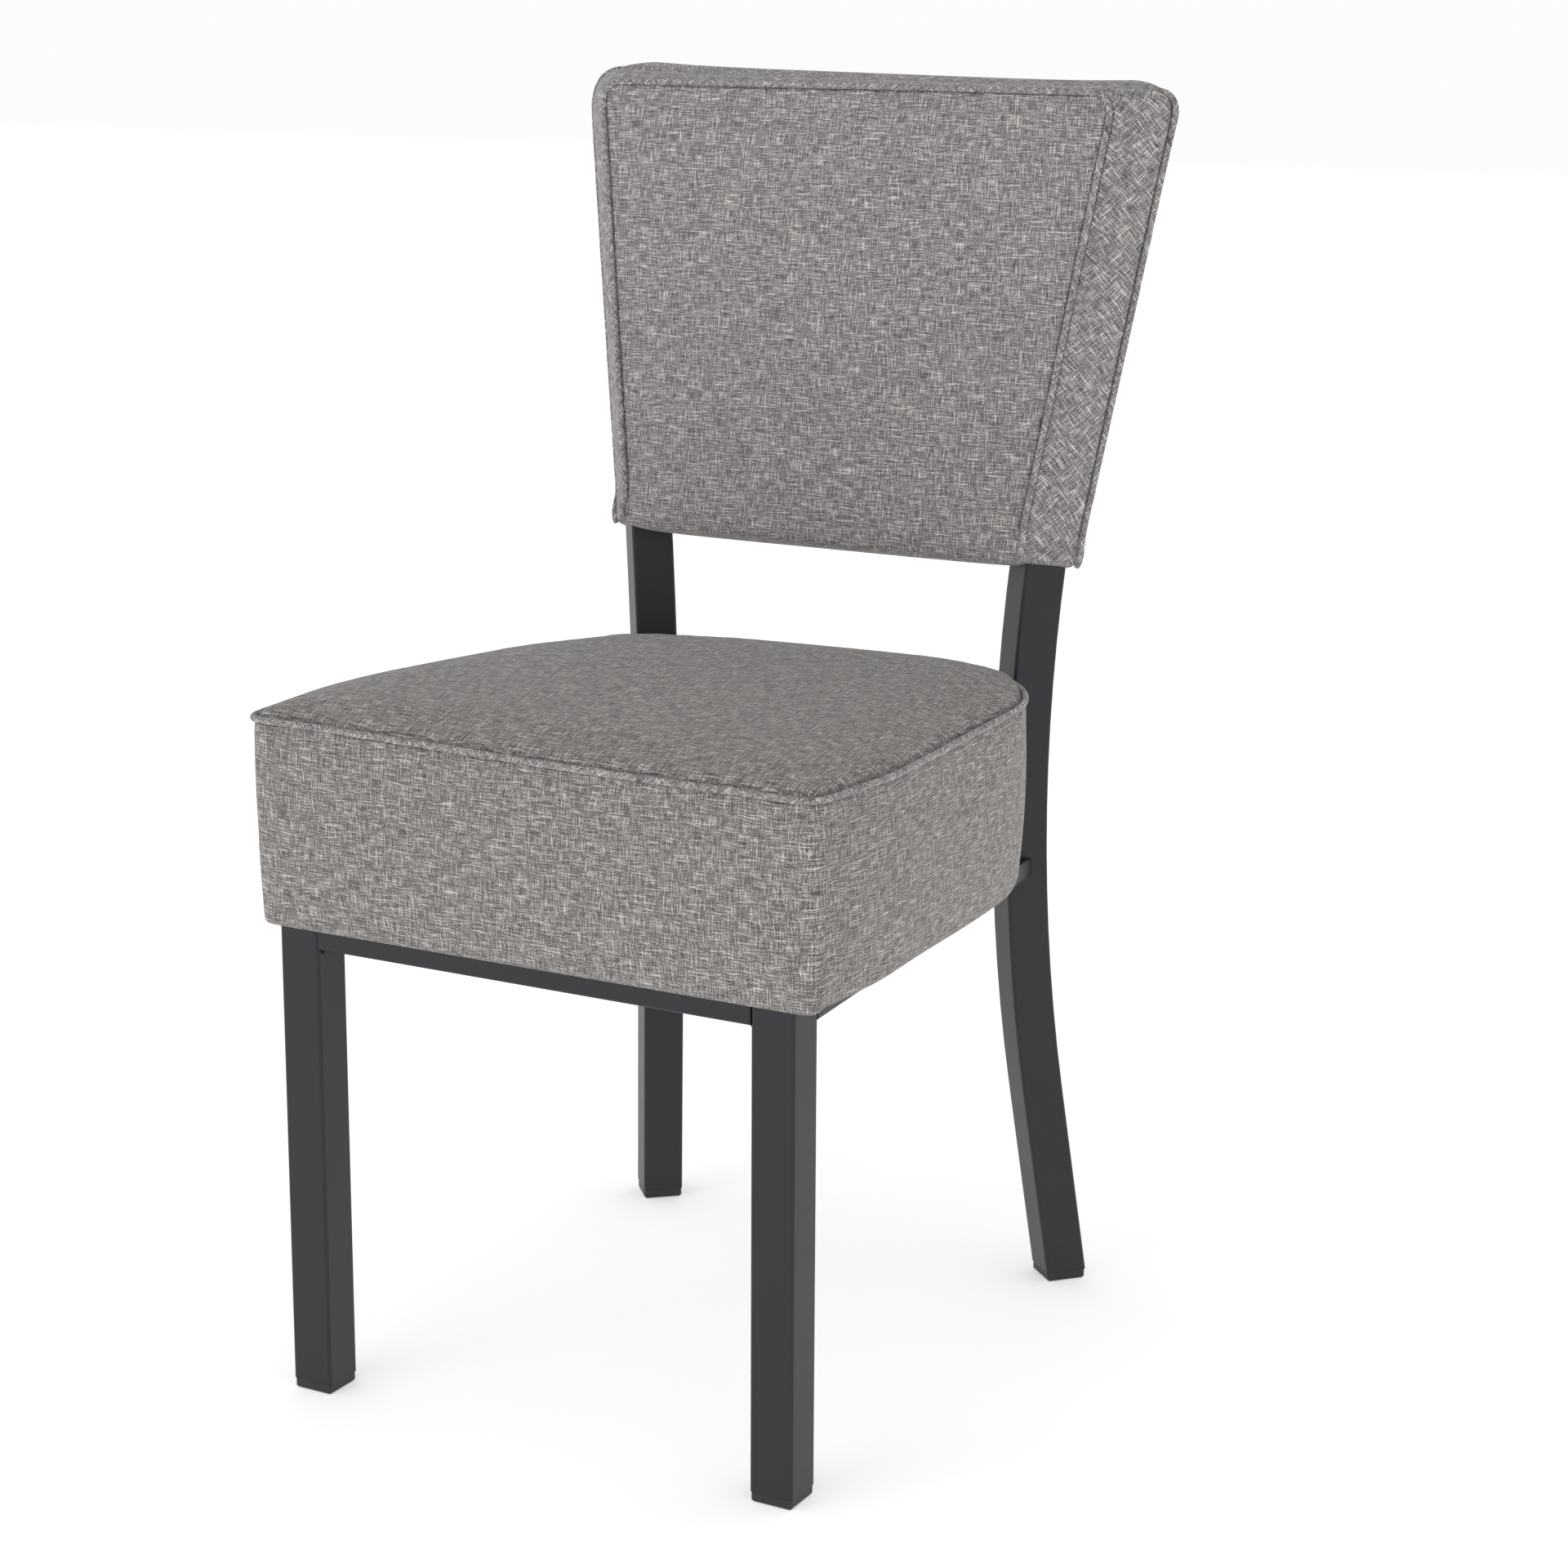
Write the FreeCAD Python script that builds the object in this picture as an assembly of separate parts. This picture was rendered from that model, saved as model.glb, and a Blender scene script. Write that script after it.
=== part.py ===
import FreeCAD, Part
import os
from math import asin, atan2, cos, degrees, hypot, radians, sin, tan

from FreeCAD import Vector

# Upholstered dining chair on a welded square-tube frame. Millimetres.
# +Z is up and -Y is the front. Parts are named left and right as seen from the front, so a
# right part is at +X, which is the sitter's left. The model is drawn with Y = 0 at the
# front legs' front faces, and moved at the end so that the origin is at the bottom centre
# of the whole chair's bounding box.

# ---- driving dimensions: frame ----
TUBE = 32.0                 # side of the square tube of the legs and posts
TUBE_WALL = 1.8
TUBE_CORNER = 2.5           # outside corner radius of that tube
FRAME_HALF_WIDTH = 202.65   # over the front legs, to their outer faces
FRAME_TOP = 344.0           # height of the seat frame's top face
RAIL_HEIGHT = 15.0
RAIL_WALL = 1.5
RAIL_CORNER = 2.0
SIDE_RAIL_TAPER = 4.6       # degrees that each side rail runs in towards the rear
REAR_RAIL_AHEAD = 32.8      # rear rail's front face ahead of the posts' centres

POST_TURN = 41.7            # turn of the post's section about the vertical, degrees
POST_SETBACK = 427.8        # posts' centres behind the front legs' front faces, at the seat
POST_INSET = 12.8           # posts' centres inside the line of the side rails' outer faces
POST_BEND_HEIGHT = 405.0    # height where the bent post stands upright
POST_BEND_RADIUS = 1500.0
POST_LOWER_LEAN = 9.4       # degrees, below the bend
POST_UPPER_LEAN = 12.4      # degrees, above the bend
POST_SPLAY = 1.38           # degrees that the bending plane leans outward
POST_TOP_INSET = 19.0       # posts' upper ends below the back's front seam

GLIDE_LIP = 7.5             # height of plastic that shows under the tube
GLIDE_INSET = 0.5
GLIDE_CHAMFER = 1.5
GLIDE_PLUG = 20.0
PLUG_WALL = 3.0
PLUG_CLEARANCE = 0.15

BRACKET_LEG = 46.0          # legs of the triangular corner plates
BRACKET_THICKNESS = 3.0
BRACKET_HOLE = 7.0
BRACKET_HOLE_PLACE = 0.33     # hole's distance from each tube, as a share of the leg
WELD_LEG = 4.0

# ---- driving dimensions: seat ----
SEAT_SIDE_OVERHANG = 18.35  # cushion outside the front legs at its front corners
SEAT_SWELL = 8.0            # how much further out its widest part is
SEAT_WIDEST_BACK = 88.0     # from the cushion's front to where it is widest
SEAT_OVERHANG = 6.0         # cushion's front face ahead of the legs' front faces
SEAT_REAR_GAP = 7.8         # cushion's rear edge ahead of the posts' centres
SEAT_POST_GAP = 18.0        # between the cushion's rounded corner and the post's corner
SEAT_WALL_HEIGHT = 138.0    # from the frame's top to the welt
SEAT_CROWN = 15.0           # rise of the top from the welt to the middle
SEAT_CROWN_SHARE = 0.66     # size of the crown's flat middle against the whole plan
SEAT_LEAN = 3.0             # the cushion is this much smaller all round at the bottom
SEAT_FRONT_CORNER = 16.0
SEAT_SIDE_BEND = 250.0
SEAT_REAR_NARROWING = 25.0  # widest half width less the half width at the rear
FABRIC = 1.2
DUST_CLOTH = 1.0
SEAT_BOARD_INSET = 12.0
SEAT_BOARD_THICKNESS = 12.0
WADDING = 14.0
SEAT_TURN_UNDER = 36.0       # boxing's width under the board
WELT = 5.0
WELT_STANDOFF = 0.5         # welt centre outside the cover's edge

SCREW = 6.0
SCREW_LENGTH = 16.0
SCREW_HEAD = 11.5
SCREW_HEAD_HEIGHT = 3.6
SCREW_SOCKET = 4.0
SCREW_SOCKET_DEPTH = 2.2
SCREW_HEAD_ROUND = 1.4
SCREW_CLEARANCE = 0.2
WASHER = 16.0
WASHER_THICKNESS = 1.2
NUT_BARREL = 8.0
NUT_FLANGE = 19.0
NUT_FLANGE_THICKNESS = 1.6
NUT_LENGTH = 9.0

# ---- driving dimensions: back ----
BACK_BOTTOM = 563.0
BACK_FRONT_TOP = 903.0      # height of the front seam at the top
BACK_REAR_TOP = 914.0       # height of the rear panel's top edge
BACK_RECLINE_EXTRA = 0.4    # degrees that the padding leans more than the posts
BACK_BAND_PAD = 6.4         # padding between the side band and the post's outer face
BACK_BAND_BEYOND = 5.5      # side band past the post's outermost corner
BACK_BAND_AHEAD = 11.7      # side band past the post's foremost corner
BACK_REAR_PAD = 5.0         # rear panel behind the post's rearmost corner
BACK_CORNER = 14.0
BACK_BOARD_SET = 27.0       # board's front face behind the front seam
BACK_BOARD_THICKNESS = 8.0
BACK_BOARD_GAP = 6.0        # between the board's side edges and the posts
BACK_BOARD_MARGIN = 16.0    # board's ends inside the back's ends
BACK_RAIL = 16.0            # square tube across the posts
BACK_RAIL_WALL = 1.5
BACK_RAIL_LOW = 32.0        # lower cross tube's centre above the back's underside
BACK_RAIL_HIGH = 280.0      # upper cross tube's centre above the back's underside
BACK_SCREW = 4.0
BACK_SCREW_HEAD = 8.0
BACK_SCREW_BITE = 9.6       # screw's length past the board
BACK_SCREW_SPREAD = 95.0    # screws from the middle
CAP_TOP = 3.0

SIDES = {"left": -1, "right": 1}
FAR = 1500.0
BEYOND = 50.0               # cutting shapes reach this far past what they cut

# ---- sizes that follow from them ----
RAIL_TAPER_SLOPE = tan(radians(SIDE_RAIL_TAPER))
POST_HALF_SPACING = FRAME_HALF_WIDTH - RAIL_TAPER_SLOPE * (POST_SETBACK - TUBE) - POST_INSET
POST_TOP = BACK_FRONT_TOP - POST_TOP_INSET
POST_HALF_DIAGONAL = TUBE / 2 ** 0.5
REAR_RAIL_FRONT = POST_SETBACK - REAR_RAIL_AHEAD
SEAT_HALF_FRONT = FRAME_HALF_WIDTH + SEAT_SIDE_OVERHANG
SEAT_HALF_WIDEST = SEAT_HALF_FRONT + SEAT_SWELL
SEAT_HALF_REAR = SEAT_HALF_WIDEST - SEAT_REAR_NARROWING
SEAT_DEPTH = POST_SETBACK - SEAT_REAR_GAP + SEAT_OVERHANG

os.makedirs("parts", exist_ok=True)
nodes = {}


# ---- helpers ----
def mirrored(shape):
    """The same piece on the other side of the chair."""
    return shape.mirror(Vector(0, 0, 0), Vector(1, 0, 0))


def on_side(shape, side):
    """A piece drawn on the +X side, placed on the given side."""
    return shape if side > 0 else mirrored(shape)


def box(x0, x1, y0, y1, z0, z1):
    return Part.makeBox(x1 - x0, y1 - y0, z1 - z0, Vector(x0, y0, z0))


def cut(shape, *tools):
    for tool in tools:
        shape = shape.cut(tool)
    return shape


def one(shape):
    """The single solid inside a result, with its needless seams removed."""
    solids = sorted(shape.removeSplitter().Solids, key=lambda solid: solid.Volume)
    return solids[-1]


def inset_polygon(points, distance):
    """Corners of a convex anticlockwise polygon whose sides are moved in by distance."""
    count = len(points)
    result = []
    for i in range(count):
        (ax, ay), (bx, by), (cx, cy) = points[i - 1], points[i], points[(i + 1) % count]
        ux, uy = (bx - ax) / hypot(bx - ax, by - ay), (by - ay) / hypot(bx - ax, by - ay)
        vx, vy = (cx - bx) / hypot(cx - bx, cy - by), (cy - by) / hypot(cx - bx, cy - by)
        turn = atan2(ux * vy - uy * vx, ux * vx + uy * vy)
        slide = distance * tan(turn / 2)
        result.append((bx - uy * distance - ux * slide, by + ux * distance - uy * slide))
    return result


def rounded_wire(points, radii, z):
    """A closed wire at height z: straight sides joined by an arc at each corner."""
    count = len(points)
    corners = []
    for i in range(count):
        a, b, c = (Vector(*points[(i + k) % count], z) for k in (-1, 0, 1))
        u, v = (b - a).normalize(), (c - b).normalize()
        turn = u.getAngle(v)
        reach = radii[i] * tan(turn / 2)
        inward = (v - u).normalize()
        middle = b + inward * (radii[i] / cos(turn / 2) - radii[i])
        corners.append((b - u * reach, middle, b + v * reach))
    edges = []
    for i in range(count):
        start, middle, end = corners[i]
        edges.append(Part.Arc(start, middle, end).toShape())
        edges.append(Part.LineSegment(end, corners[(i + 1) % count][0]).toShape())
    return Part.Wire(edges)


def prism(points, z0, z1):
    """An upright solid on a plan polygon."""
    wire = Part.makePolygon([Vector(x, y, z0) for x, y in points + points[:1]])
    return Part.Face(wire).extrude(Vector(0, 0, z1 - z0))


def flat_sided(lower, upper):
    """A closed solid with flat faces between two matching polygons."""
    rings = [lower, upper]
    rings += [[lower[i - 1], lower[i], upper[i], upper[i - 1]] for i in range(len(lower))]
    faces = [Part.Face(Part.makePolygon(ring + ring[:1])) for ring in rings]
    solid = Part.makeSolid(Part.makeShell(faces))
    if solid.Volume < 0:
        solid.reverse()
    return solid


def square_face(size, corner, wall=0.0):
    """A rounded square about the origin, hollow if it has a wall."""
    half = size / 2
    square = [(-half, -half), (half, -half), (half, half), (-half, half)]
    face = Part.Face(rounded_wire(square, [corner] * 4, 0))
    if wall:
        bore = Part.Face(rounded_wire(inset_polygon(square, wall), [corner - wall / 2] * 4, 0))
        face = face.cut(bore).Faces[0]
    return face


def flat_tube(x0, x1, y0, y1, z0, z1, axis):
    """A straight rectangular rail tube along X or Y, open at its ends."""
    outer = box(x0, x1, y0, y1, z0, z1)
    along = Vector(1, 0, 0) if axis == "X" else Vector(0, 1, 0)
    long_edges = [e for e in outer.Edges if abs(e.tangentAt(e.FirstParameter).dot(along)) > 0.99]
    outer = outer.makeFillet(RAIL_CORNER, long_edges)
    w = RAIL_WALL
    if axis == "X":
        return outer.cut(box(x0 - 1, x1 + 1, y0 + w, y1 - w, z0 + w, z1 - w))
    return outer.cut(box(x0 + w, x1 - w, y0 - 1, y1 + 1, z0 + w, z1 - w))


# ---- front legs ----
LEG_CENTRE_X = FRAME_HALF_WIDTH - TUBE / 2
LEG_CENTRE_Y = TUBE / 2


def front_leg():
    leg = square_face(TUBE, TUBE_CORNER, TUBE_WALL).extrude(Vector(0, 0, FRAME_TOP - GLIDE_LIP))
    leg.translate(Vector(LEG_CENTRE_X, LEG_CENTRE_Y, GLIDE_LIP))
    return leg


# ---- rear posts ----
def post_place(shape):
    """Moves a shape from the post's bending plane, drawn in XZ, to the +X post's place."""
    shape.rotate(Vector(0, 0, POST_BEND_HEIGHT), Vector(1, 0, 0), POST_SPLAY)
    shape.rotate(Vector(0, 0, 0), Vector(0, 0, 1), 90 - POST_TURN)
    shape.translate(Vector(POST_HALF_SPACING, POST_SETBACK, 0))
    return shape


def post_path_point(z):
    """Where the post's centre line is at a height near z, in the bending plane."""
    low, high = -sin(radians(POST_LOWER_LEAN)), sin(radians(POST_UPPER_LEAN))
    rise = (z - POST_BEND_HEIGHT) / POST_BEND_RADIUS
    lean = min(max(rise, low), high)
    angle = asin(lean)
    arc = POST_BEND_RADIUS * (1 - cos(angle))
    return arc + (z - POST_BEND_HEIGHT - POST_BEND_RADIUS * lean) * tan(angle)


def post_run(wall):
    """The bent square tube in its bending plane: straight, one large arc, straight."""
    face = square_face(TUBE, TUBE_CORNER, wall)
    face.translate(Vector(0, 0, POST_BEND_HEIGHT))
    centre = Vector(POST_BEND_RADIUS, 0, POST_BEND_HEIGHT)
    across = Vector(0, 1, 0)
    lower_end, upper_end = face.copy(), face.copy()
    lower_end.rotate(centre, across, -POST_LOWER_LEAN)
    upper_end.rotate(centre, across, POST_UPPER_LEAN)
    down, up = radians(POST_LOWER_LEAN), radians(POST_UPPER_LEAN)
    bend = lower_end.revolve(centre, across, POST_LOWER_LEAN + POST_UPPER_LEAN)
    lower = lower_end.extrude(Vector(sin(down), 0, -cos(down)) * FAR)
    upper = upper_end.extrude(Vector(sin(up), 0, cos(up)) * FAR)
    return post_place(one(bend.fuse([lower, upper])))


def rear_post(wall=TUBE_WALL):
    return one(post_run(wall).common(box(-FAR, FAR, -FAR, FAR, GLIDE_LIP, POST_TOP)))


def post_centre(z):
    """The +X post's centre at a height near z."""
    return post_place(Part.Vertex(post_path_point(z), 0, z)).Point


# ---- glides ----
def glide(centre, turn, plug):
    """A plastic end cap: a chamfered lip that shows and a ribbed plug inside the tube."""
    side = TUBE - 2 * GLIDE_INSET
    lip = square_face(side, TUBE_CORNER).extrude(Vector(0, 0, GLIDE_LIP))
    floor_edges = [e for e in lip.Edges if e.BoundBox.ZMax < 0.01]
    lip = lip.makeChamfer(GLIDE_CHAMFER, floor_edges)
    lip.rotate(Vector(0, 0, 0), Vector(0, 0, 1), turn)
    lip.translate(Vector(centre.x, centre.y, 0))
    return one(lip.fuse(plug))


def plug_section():
    side = TUBE - 2 * TUBE_WALL - 2 * PLUG_CLEARANCE
    return square_face(side, TUBE_CORNER - TUBE_WALL / 2, PLUG_WALL)


def front_glide():
    plug = plug_section().extrude(Vector(0, 0, GLIDE_PLUG + GLIDE_LIP - 1))
    plug.translate(Vector(LEG_CENTRE_X, LEG_CENTRE_Y, 1))
    return glide(Vector(LEG_CENTRE_X, LEG_CENTRE_Y, 0), 0, plug)


def rear_glide():
    lean = radians(POST_LOWER_LEAN)
    plug = plug_section()
    plug.rotate(Vector(0, 0, 0), Vector(0, 1, 0), -POST_LOWER_LEAN)
    plug.translate(Vector(post_path_point(0), 0, 0))
    plug = plug.extrude(Vector(-sin(lean), 0, cos(lean)) * (GLIDE_PLUG + GLIDE_LIP))
    plug = post_place(plug).common(box(-FAR, FAR, -FAR, FAR, 2, FAR))
    return glide(post_centre(GLIDE_LIP), 90 - POST_TURN, plug)


# ---- rails ----
RAIL_Z0 = FRAME_TOP - RAIL_HEIGHT


def side_rail():
    """Runs from the front leg to the post, and is coped round the post's corner."""
    rail = flat_tube(FRAME_HALF_WIDTH - TUBE, FRAME_HALF_WIDTH, -TUBE, FAR, RAIL_Z0, FRAME_TOP, "Y")
    rail.rotate(Vector(FRAME_HALF_WIDTH, TUBE, 0), Vector(0, 0, 1), SIDE_RAIL_TAPER)
    leg_zone = box(0, FAR, -FAR, TUBE, -FAR, FAR)
    beyond = box(0, FAR, POST_SETBACK + TUBE / 4, FAR * 2, -FAR, FAR)
    rail = cut(rail, leg_zone, beyond, rear_post(0))
    return max(rail.Solids, key=lambda solid: solid.Volume)


def front_rail():
    half = FRAME_HALF_WIDTH - TUBE
    return flat_tube(-half, half, 0, TUBE, RAIL_Z0, FRAME_TOP, "X")


def side_rail_inner_face(y):
    """X of the side rail's inner face at a given distance from the front."""
    return FRAME_HALF_WIDTH - TUBE / cos(radians(SIDE_RAIL_TAPER)) - RAIL_TAPER_SLOPE * (y - TUBE)


def rear_rail():
    half = side_rail_inner_face(REAR_RAIL_FRONT)
    rail = flat_tube(-half - TUBE, half + TUBE, REAR_RAIL_FRONT, REAR_RAIL_FRONT + TUBE,
                     RAIL_Z0, FRAME_TOP, "X")
    inner = [(side_rail_inner_face(y), y) for y in (0, REAR_RAIL_FRONT + 2 * TUBE)]
    between = prism([(-inner[0][0], 0), inner[0], inner[1], (-inner[1][0], inner[1][1])], 0, FAR)
    rail = rail.common(between)
    rail = cut(rail, rear_post(0), mirrored(rear_post(0)))
    return max(rail.Solids, key=lambda solid: solid.Volume)


# ---- corner brackets ----
def bracket_corner(rear):
    """The inner corner of the seat frame that a bracket fills, and its Y direction."""
    y = REAR_RAIL_FRONT if rear else TUBE
    return side_rail_inner_face(y), y, -1 if rear else 1


def bracket_hole_centre(rear):
    x, y, step = bracket_corner(rear)
    reach = BRACKET_LEG * BRACKET_HOLE_PLACE
    return Vector(x - reach, y + step * reach, 0)


def bracket(rear):
    x, y, step = bracket_corner(rear)
    far_y = y + step * BRACKET_LEG
    points = [(x, y), (x - BRACKET_LEG, y), (side_rail_inner_face(far_y), far_y)]
    if not rear:
        points.reverse()
    plate = prism(points, FRAME_TOP - BRACKET_THICKNESS, FRAME_TOP)
    hole = Part.makeCylinder(BRACKET_HOLE / 2, FAR, bracket_hole_centre(rear))
    return plate.cut(hole)


def at_brackets(make):
    """Four copies of a piece, one at each bracket's hole."""
    copies = []
    for rear in (False, True):
        for side in SIDES.values():
            piece = make()
            piece.translate(bracket_hole_centre(rear))
            copies.append(on_side(piece, side))
    return Part.makeCompound(copies)


# ---- seat screws ----
WASHER_BOTTOM = FRAME_TOP - BRACKET_THICKNESS - WASHER_THICKNESS
BOARD_BOTTOM = FRAME_TOP + DUST_CLOTH + FABRIC
BOARD_TOP = BOARD_BOTTOM + SEAT_BOARD_THICKNESS


def cylinder(radius, z0, z1):
    return Part.makeCylinder(radius, z1 - z0, Vector(0, 0, z0))


def seat_screw():
    head = cylinder(SCREW_HEAD / 2, WASHER_BOTTOM - SCREW_HEAD_HEIGHT, WASHER_BOTTOM)
    rim = [e for e in head.Edges if e.BoundBox.ZMax < WASHER_BOTTOM - SCREW_HEAD_HEIGHT / 2]
    head = head.makeFillet(SCREW_HEAD_ROUND, rim)
    shank = cylinder(SCREW / 2 - SCREW_CLEARANCE, WASHER_BOTTOM, WASHER_BOTTOM + SCREW_LENGTH)
    socket = Part.Face(Part.makePolygon([
        Vector(SCREW_SOCKET / 2 * cos(radians(60 * k)), SCREW_SOCKET / 2 * sin(radians(60 * k)), 0)
        for k in range(7)])).extrude(Vector(0, 0, SCREW_SOCKET_DEPTH))
    socket.translate(Vector(0, 0, WASHER_BOTTOM - SCREW_HEAD_HEIGHT))
    return one(head.fuse(shank)).cut(socket)


def washer():
    disc = cylinder(WASHER / 2, WASHER_BOTTOM, WASHER_BOTTOM + WASHER_THICKNESS)
    return disc.cut(cylinder(SCREW / 2 + SCREW_CLEARANCE, 0, FAR))


def t_nut():
    """A barrel nut pressed in from above, with its flange let into the board."""
    flange = cylinder(NUT_FLANGE / 2, BOARD_TOP - NUT_FLANGE_THICKNESS, BOARD_TOP)
    barrel = cylinder(NUT_BARREL / 2, BOARD_TOP - NUT_LENGTH, BOARD_TOP)
    return one(flange.fuse(barrel)).cut(cylinder(SCREW / 2, 0, FAR))


def t_nut_pocket():
    flange = cylinder(NUT_FLANGE / 2, BOARD_TOP - NUT_FLANGE_THICKNESS, BOARD_TOP + 1)
    return one(flange.fuse(cylinder(NUT_BARREL / 2, BOARD_BOTTOM - 1, BOARD_TOP)))


# ---- seat cushion ----
SEAT_BOTTOM = FRAME_TOP + DUST_CLOTH
SEAT_WELT_Z = SEAT_BOTTOM + SEAT_WALL_HEIGHT


def seat_rear_corner():
    """Radius that keeps the cushion's rear corner clear of the post's foremost corner."""
    post = post_centre(SEAT_WELT_Z)
    in_x = SEAT_HALF_REAR - post.x
    in_y = SEAT_DEPTH - SEAT_OVERHANG - (post.y - POST_HALF_DIAGONAL)
    total = in_x + in_y + SEAT_POST_GAP
    return total + (total ** 2 - in_x ** 2 - in_y ** 2 + SEAT_POST_GAP ** 2) ** 0.5


def seat_outline(inset, z, least_corner=2.0):
    """The cushion's plan, moved in by inset: a square front and a rounded rear."""
    front = -SEAT_OVERHANG
    widest = front + SEAT_WIDEST_BACK
    right = [(SEAT_HALF_FRONT, front), (SEAT_HALF_WIDEST, widest), (SEAT_HALF_REAR, front + SEAT_DEPTH)]
    left = [(-x, y) for x, y in reversed(right)]
    radii = [SEAT_FRONT_CORNER, SEAT_SIDE_BEND, SEAT_REAR_RADIUS]
    radii = [max(radius - inset, least_corner) for radius in radii + radii[::-1]]
    return rounded_wire(inset_polygon(right + left, inset), radii, z)


SEAT_REAR_RADIUS = seat_rear_corner()


def seat_lean(z):
    """How far the cushion's wall has leaned in at a height below the welt."""
    return SEAT_LEAN * (SEAT_WELT_Z - z) / SEAT_WALL_HEIGHT


def seat_block(inset, z0, z1):
    """The cushion's leaning side wall as a solid, moved in by inset, between two heights."""
    wires = [seat_outline(inset + seat_lean(z), z) for z in (z0, z1)]
    return Part.makeLoft(wires, True, True)


def seat_top(inset, z0, z1):
    """The upper part of the cushion as one solid: wall from z0 to z1, then the crown."""
    rim = inset + seat_lean(z1)
    crown = seat_outline(rim, z1)
    crown.scale(SEAT_CROWN_SHARE, Vector(0, SEAT_DEPTH / 2 - SEAT_OVERHANG, z1))
    crown.translate(Vector(0, 0, SEAT_CROWN))
    wires = [seat_outline(inset + seat_lean(z0), z0), seat_outline(rim, z1), crown]
    return Part.makeLoft(wires, True, True)


def seat_pieces():
    underside = SEAT_BOTTOM + FABRIC
    foam_top = SEAT_WELT_Z - FABRIC - WADDING
    rim_bottom = SEAT_WELT_Z - FABRIC
    boxing = seat_block(0, SEAT_BOTTOM, rim_bottom)
    inside = seat_block(FABRIC, underside, SEAT_WELT_Z)
    turned_in = seat_block(SEAT_TURN_UNDER, SEAT_BOTTOM - 1, SEAT_WELT_Z)
    holes = at_brackets(lambda: cylinder(BRACKET_HOLE / 2, 0, BOARD_BOTTOM))
    nodes["seat_boxing"] = one(cut(boxing, inside, turned_in, holes))
    board = seat_block(FABRIC + SEAT_BOARD_INSET, BOARD_BOTTOM, BOARD_TOP)
    nodes["seat_board"] = one(board.cut(at_brackets(t_nut_pocket)))
    nodes["seat_foam"] = one(seat_block(FABRIC, underside, foam_top).cut(board))
    wadding = seat_top(FABRIC, foam_top, rim_bottom)
    nodes["seat_wadding"] = one(wadding)
    nodes["seat_top_cover"] = one(seat_top(0, rim_bottom, SEAT_WELT_Z).cut(wadding))
    nodes["seat_dust_cover"] = one(seat_block(SEAT_BOARD_INSET, FRAME_TOP, SEAT_BOTTOM).cut(holes))
    nodes["seat_t_nuts"] = at_brackets(t_nut)
    nodes["seat_screws"] = at_brackets(seat_screw)
    nodes["seat_washers"] = at_brackets(washer)


def seat_welt():
    """Self-fabric piping round the top seam, standing a little proud of the wall."""
    path = seat_outline(-WELT_STANDOFF - WELT / 2, SEAT_WELT_Z)
    start = path.Edges[0].valueAt(path.Edges[0].FirstParameter)
    along = path.Edges[0].tangentAt(path.Edges[0].FirstParameter)
    ring = Part.Wire(Part.makeCircle(WELT / 2, start, along))
    return path.makePipeShell([ring], True, False)


# ---- back ----
# The back is drawn round the posts: its side bands are parallel to their outer faces.
POST_AT_BOTTOM = post_centre(BACK_BOTTOM)
POST_AT_TOP = post_centre(POST_TOP)
POST_RISE = POST_TOP - BACK_BOTTOM
BACK_FLARE = degrees(atan2(POST_AT_TOP.x - POST_AT_BOTTOM.x, POST_RISE))
BACK_RECLINE = degrees(atan2(POST_AT_TOP.y - POST_AT_BOTTOM.y, POST_RISE)) + BACK_RECLINE_EXTRA
BACK_BAND = TUBE + BACK_BAND_BEYOND + BACK_BAND_AHEAD
BACK_BAND_X = BACK_BAND * sin(radians(POST_TURN))
BACK_BAND_Y = BACK_BAND * cos(radians(POST_TURN))
SEAM_ALONG = TUBE / 2 + BACK_BAND_BEYOND        # rear seam from the post's centre, along the band
SEAM_ACROSS = TUBE / 2 + BACK_BAND_PAD          # and square to it
BACK_SEAM_X = (POST_AT_BOTTOM.x + SEAM_ALONG * sin(radians(POST_TURN))
               + SEAM_ACROSS * cos(radians(POST_TURN)))
BACK_SEAM_Y = (POST_AT_BOTTOM.y + SEAM_ALONG * cos(radians(POST_TURN))
               - SEAM_ACROSS * sin(radians(POST_TURN)))
BACK_HALF_FRONT = BACK_SEAM_X - BACK_BAND_X
BACK_FRONT_Y = BACK_SEAM_Y - BACK_BAND_Y
BACK_REAR_Y = POST_AT_BOTTOM.y + POST_HALF_DIAGONAL + BACK_REAR_PAD
BACK_REAR_SLANT = BACK_REAR_Y - BACK_SEAM_Y


def back_plane_y(y_at_bottom, z):
    """Y at height z of a plane that leans with the back."""
    return y_at_bottom + (z - BACK_BOTTOM) * tan(radians(BACK_RECLINE))


def leaning_slab(y_front, y_rear, z0=BACK_BOTTOM - BEYOND, z1=BACK_REAR_TOP + BEYOND):
    """Everything between two planes that lean with the back."""
    profile = [(y_front, z0), (y_rear, z0), (y_rear, z1), (y_front, z1)]
    points = [Vector(-FAR, back_plane_y(y, z), z) for y, z in profile]
    return Part.Face(Part.makePolygon(points + points[:1])).extrude(Vector(2 * FAR, 0, 0))


def back_plan(inset, z):
    """Plan of the two side faces of the back at height z: a hexagon, open front and rear."""
    flare = (z - BACK_BOTTOM) * tan(radians(BACK_FLARE))
    half_seam = BACK_HALF_FRONT + BACK_BAND_X + flare
    y = back_plane_y(BACK_SEAM_Y, z)
    ahead, behind = 2 * BACK_BAND_Y, 3 * BACK_REAR_SLANT
    band_slope = BACK_BAND_X / BACK_BAND_Y
    right = [(half_seam - ahead * band_slope, y - ahead), (half_seam, y),
             (half_seam - behind / band_slope, y + behind)]
    left = [(-x, y) for x, y in reversed(right)]
    return [Vector(x, y, z) for x, y in inset_polygon(right + left, inset)]


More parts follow.
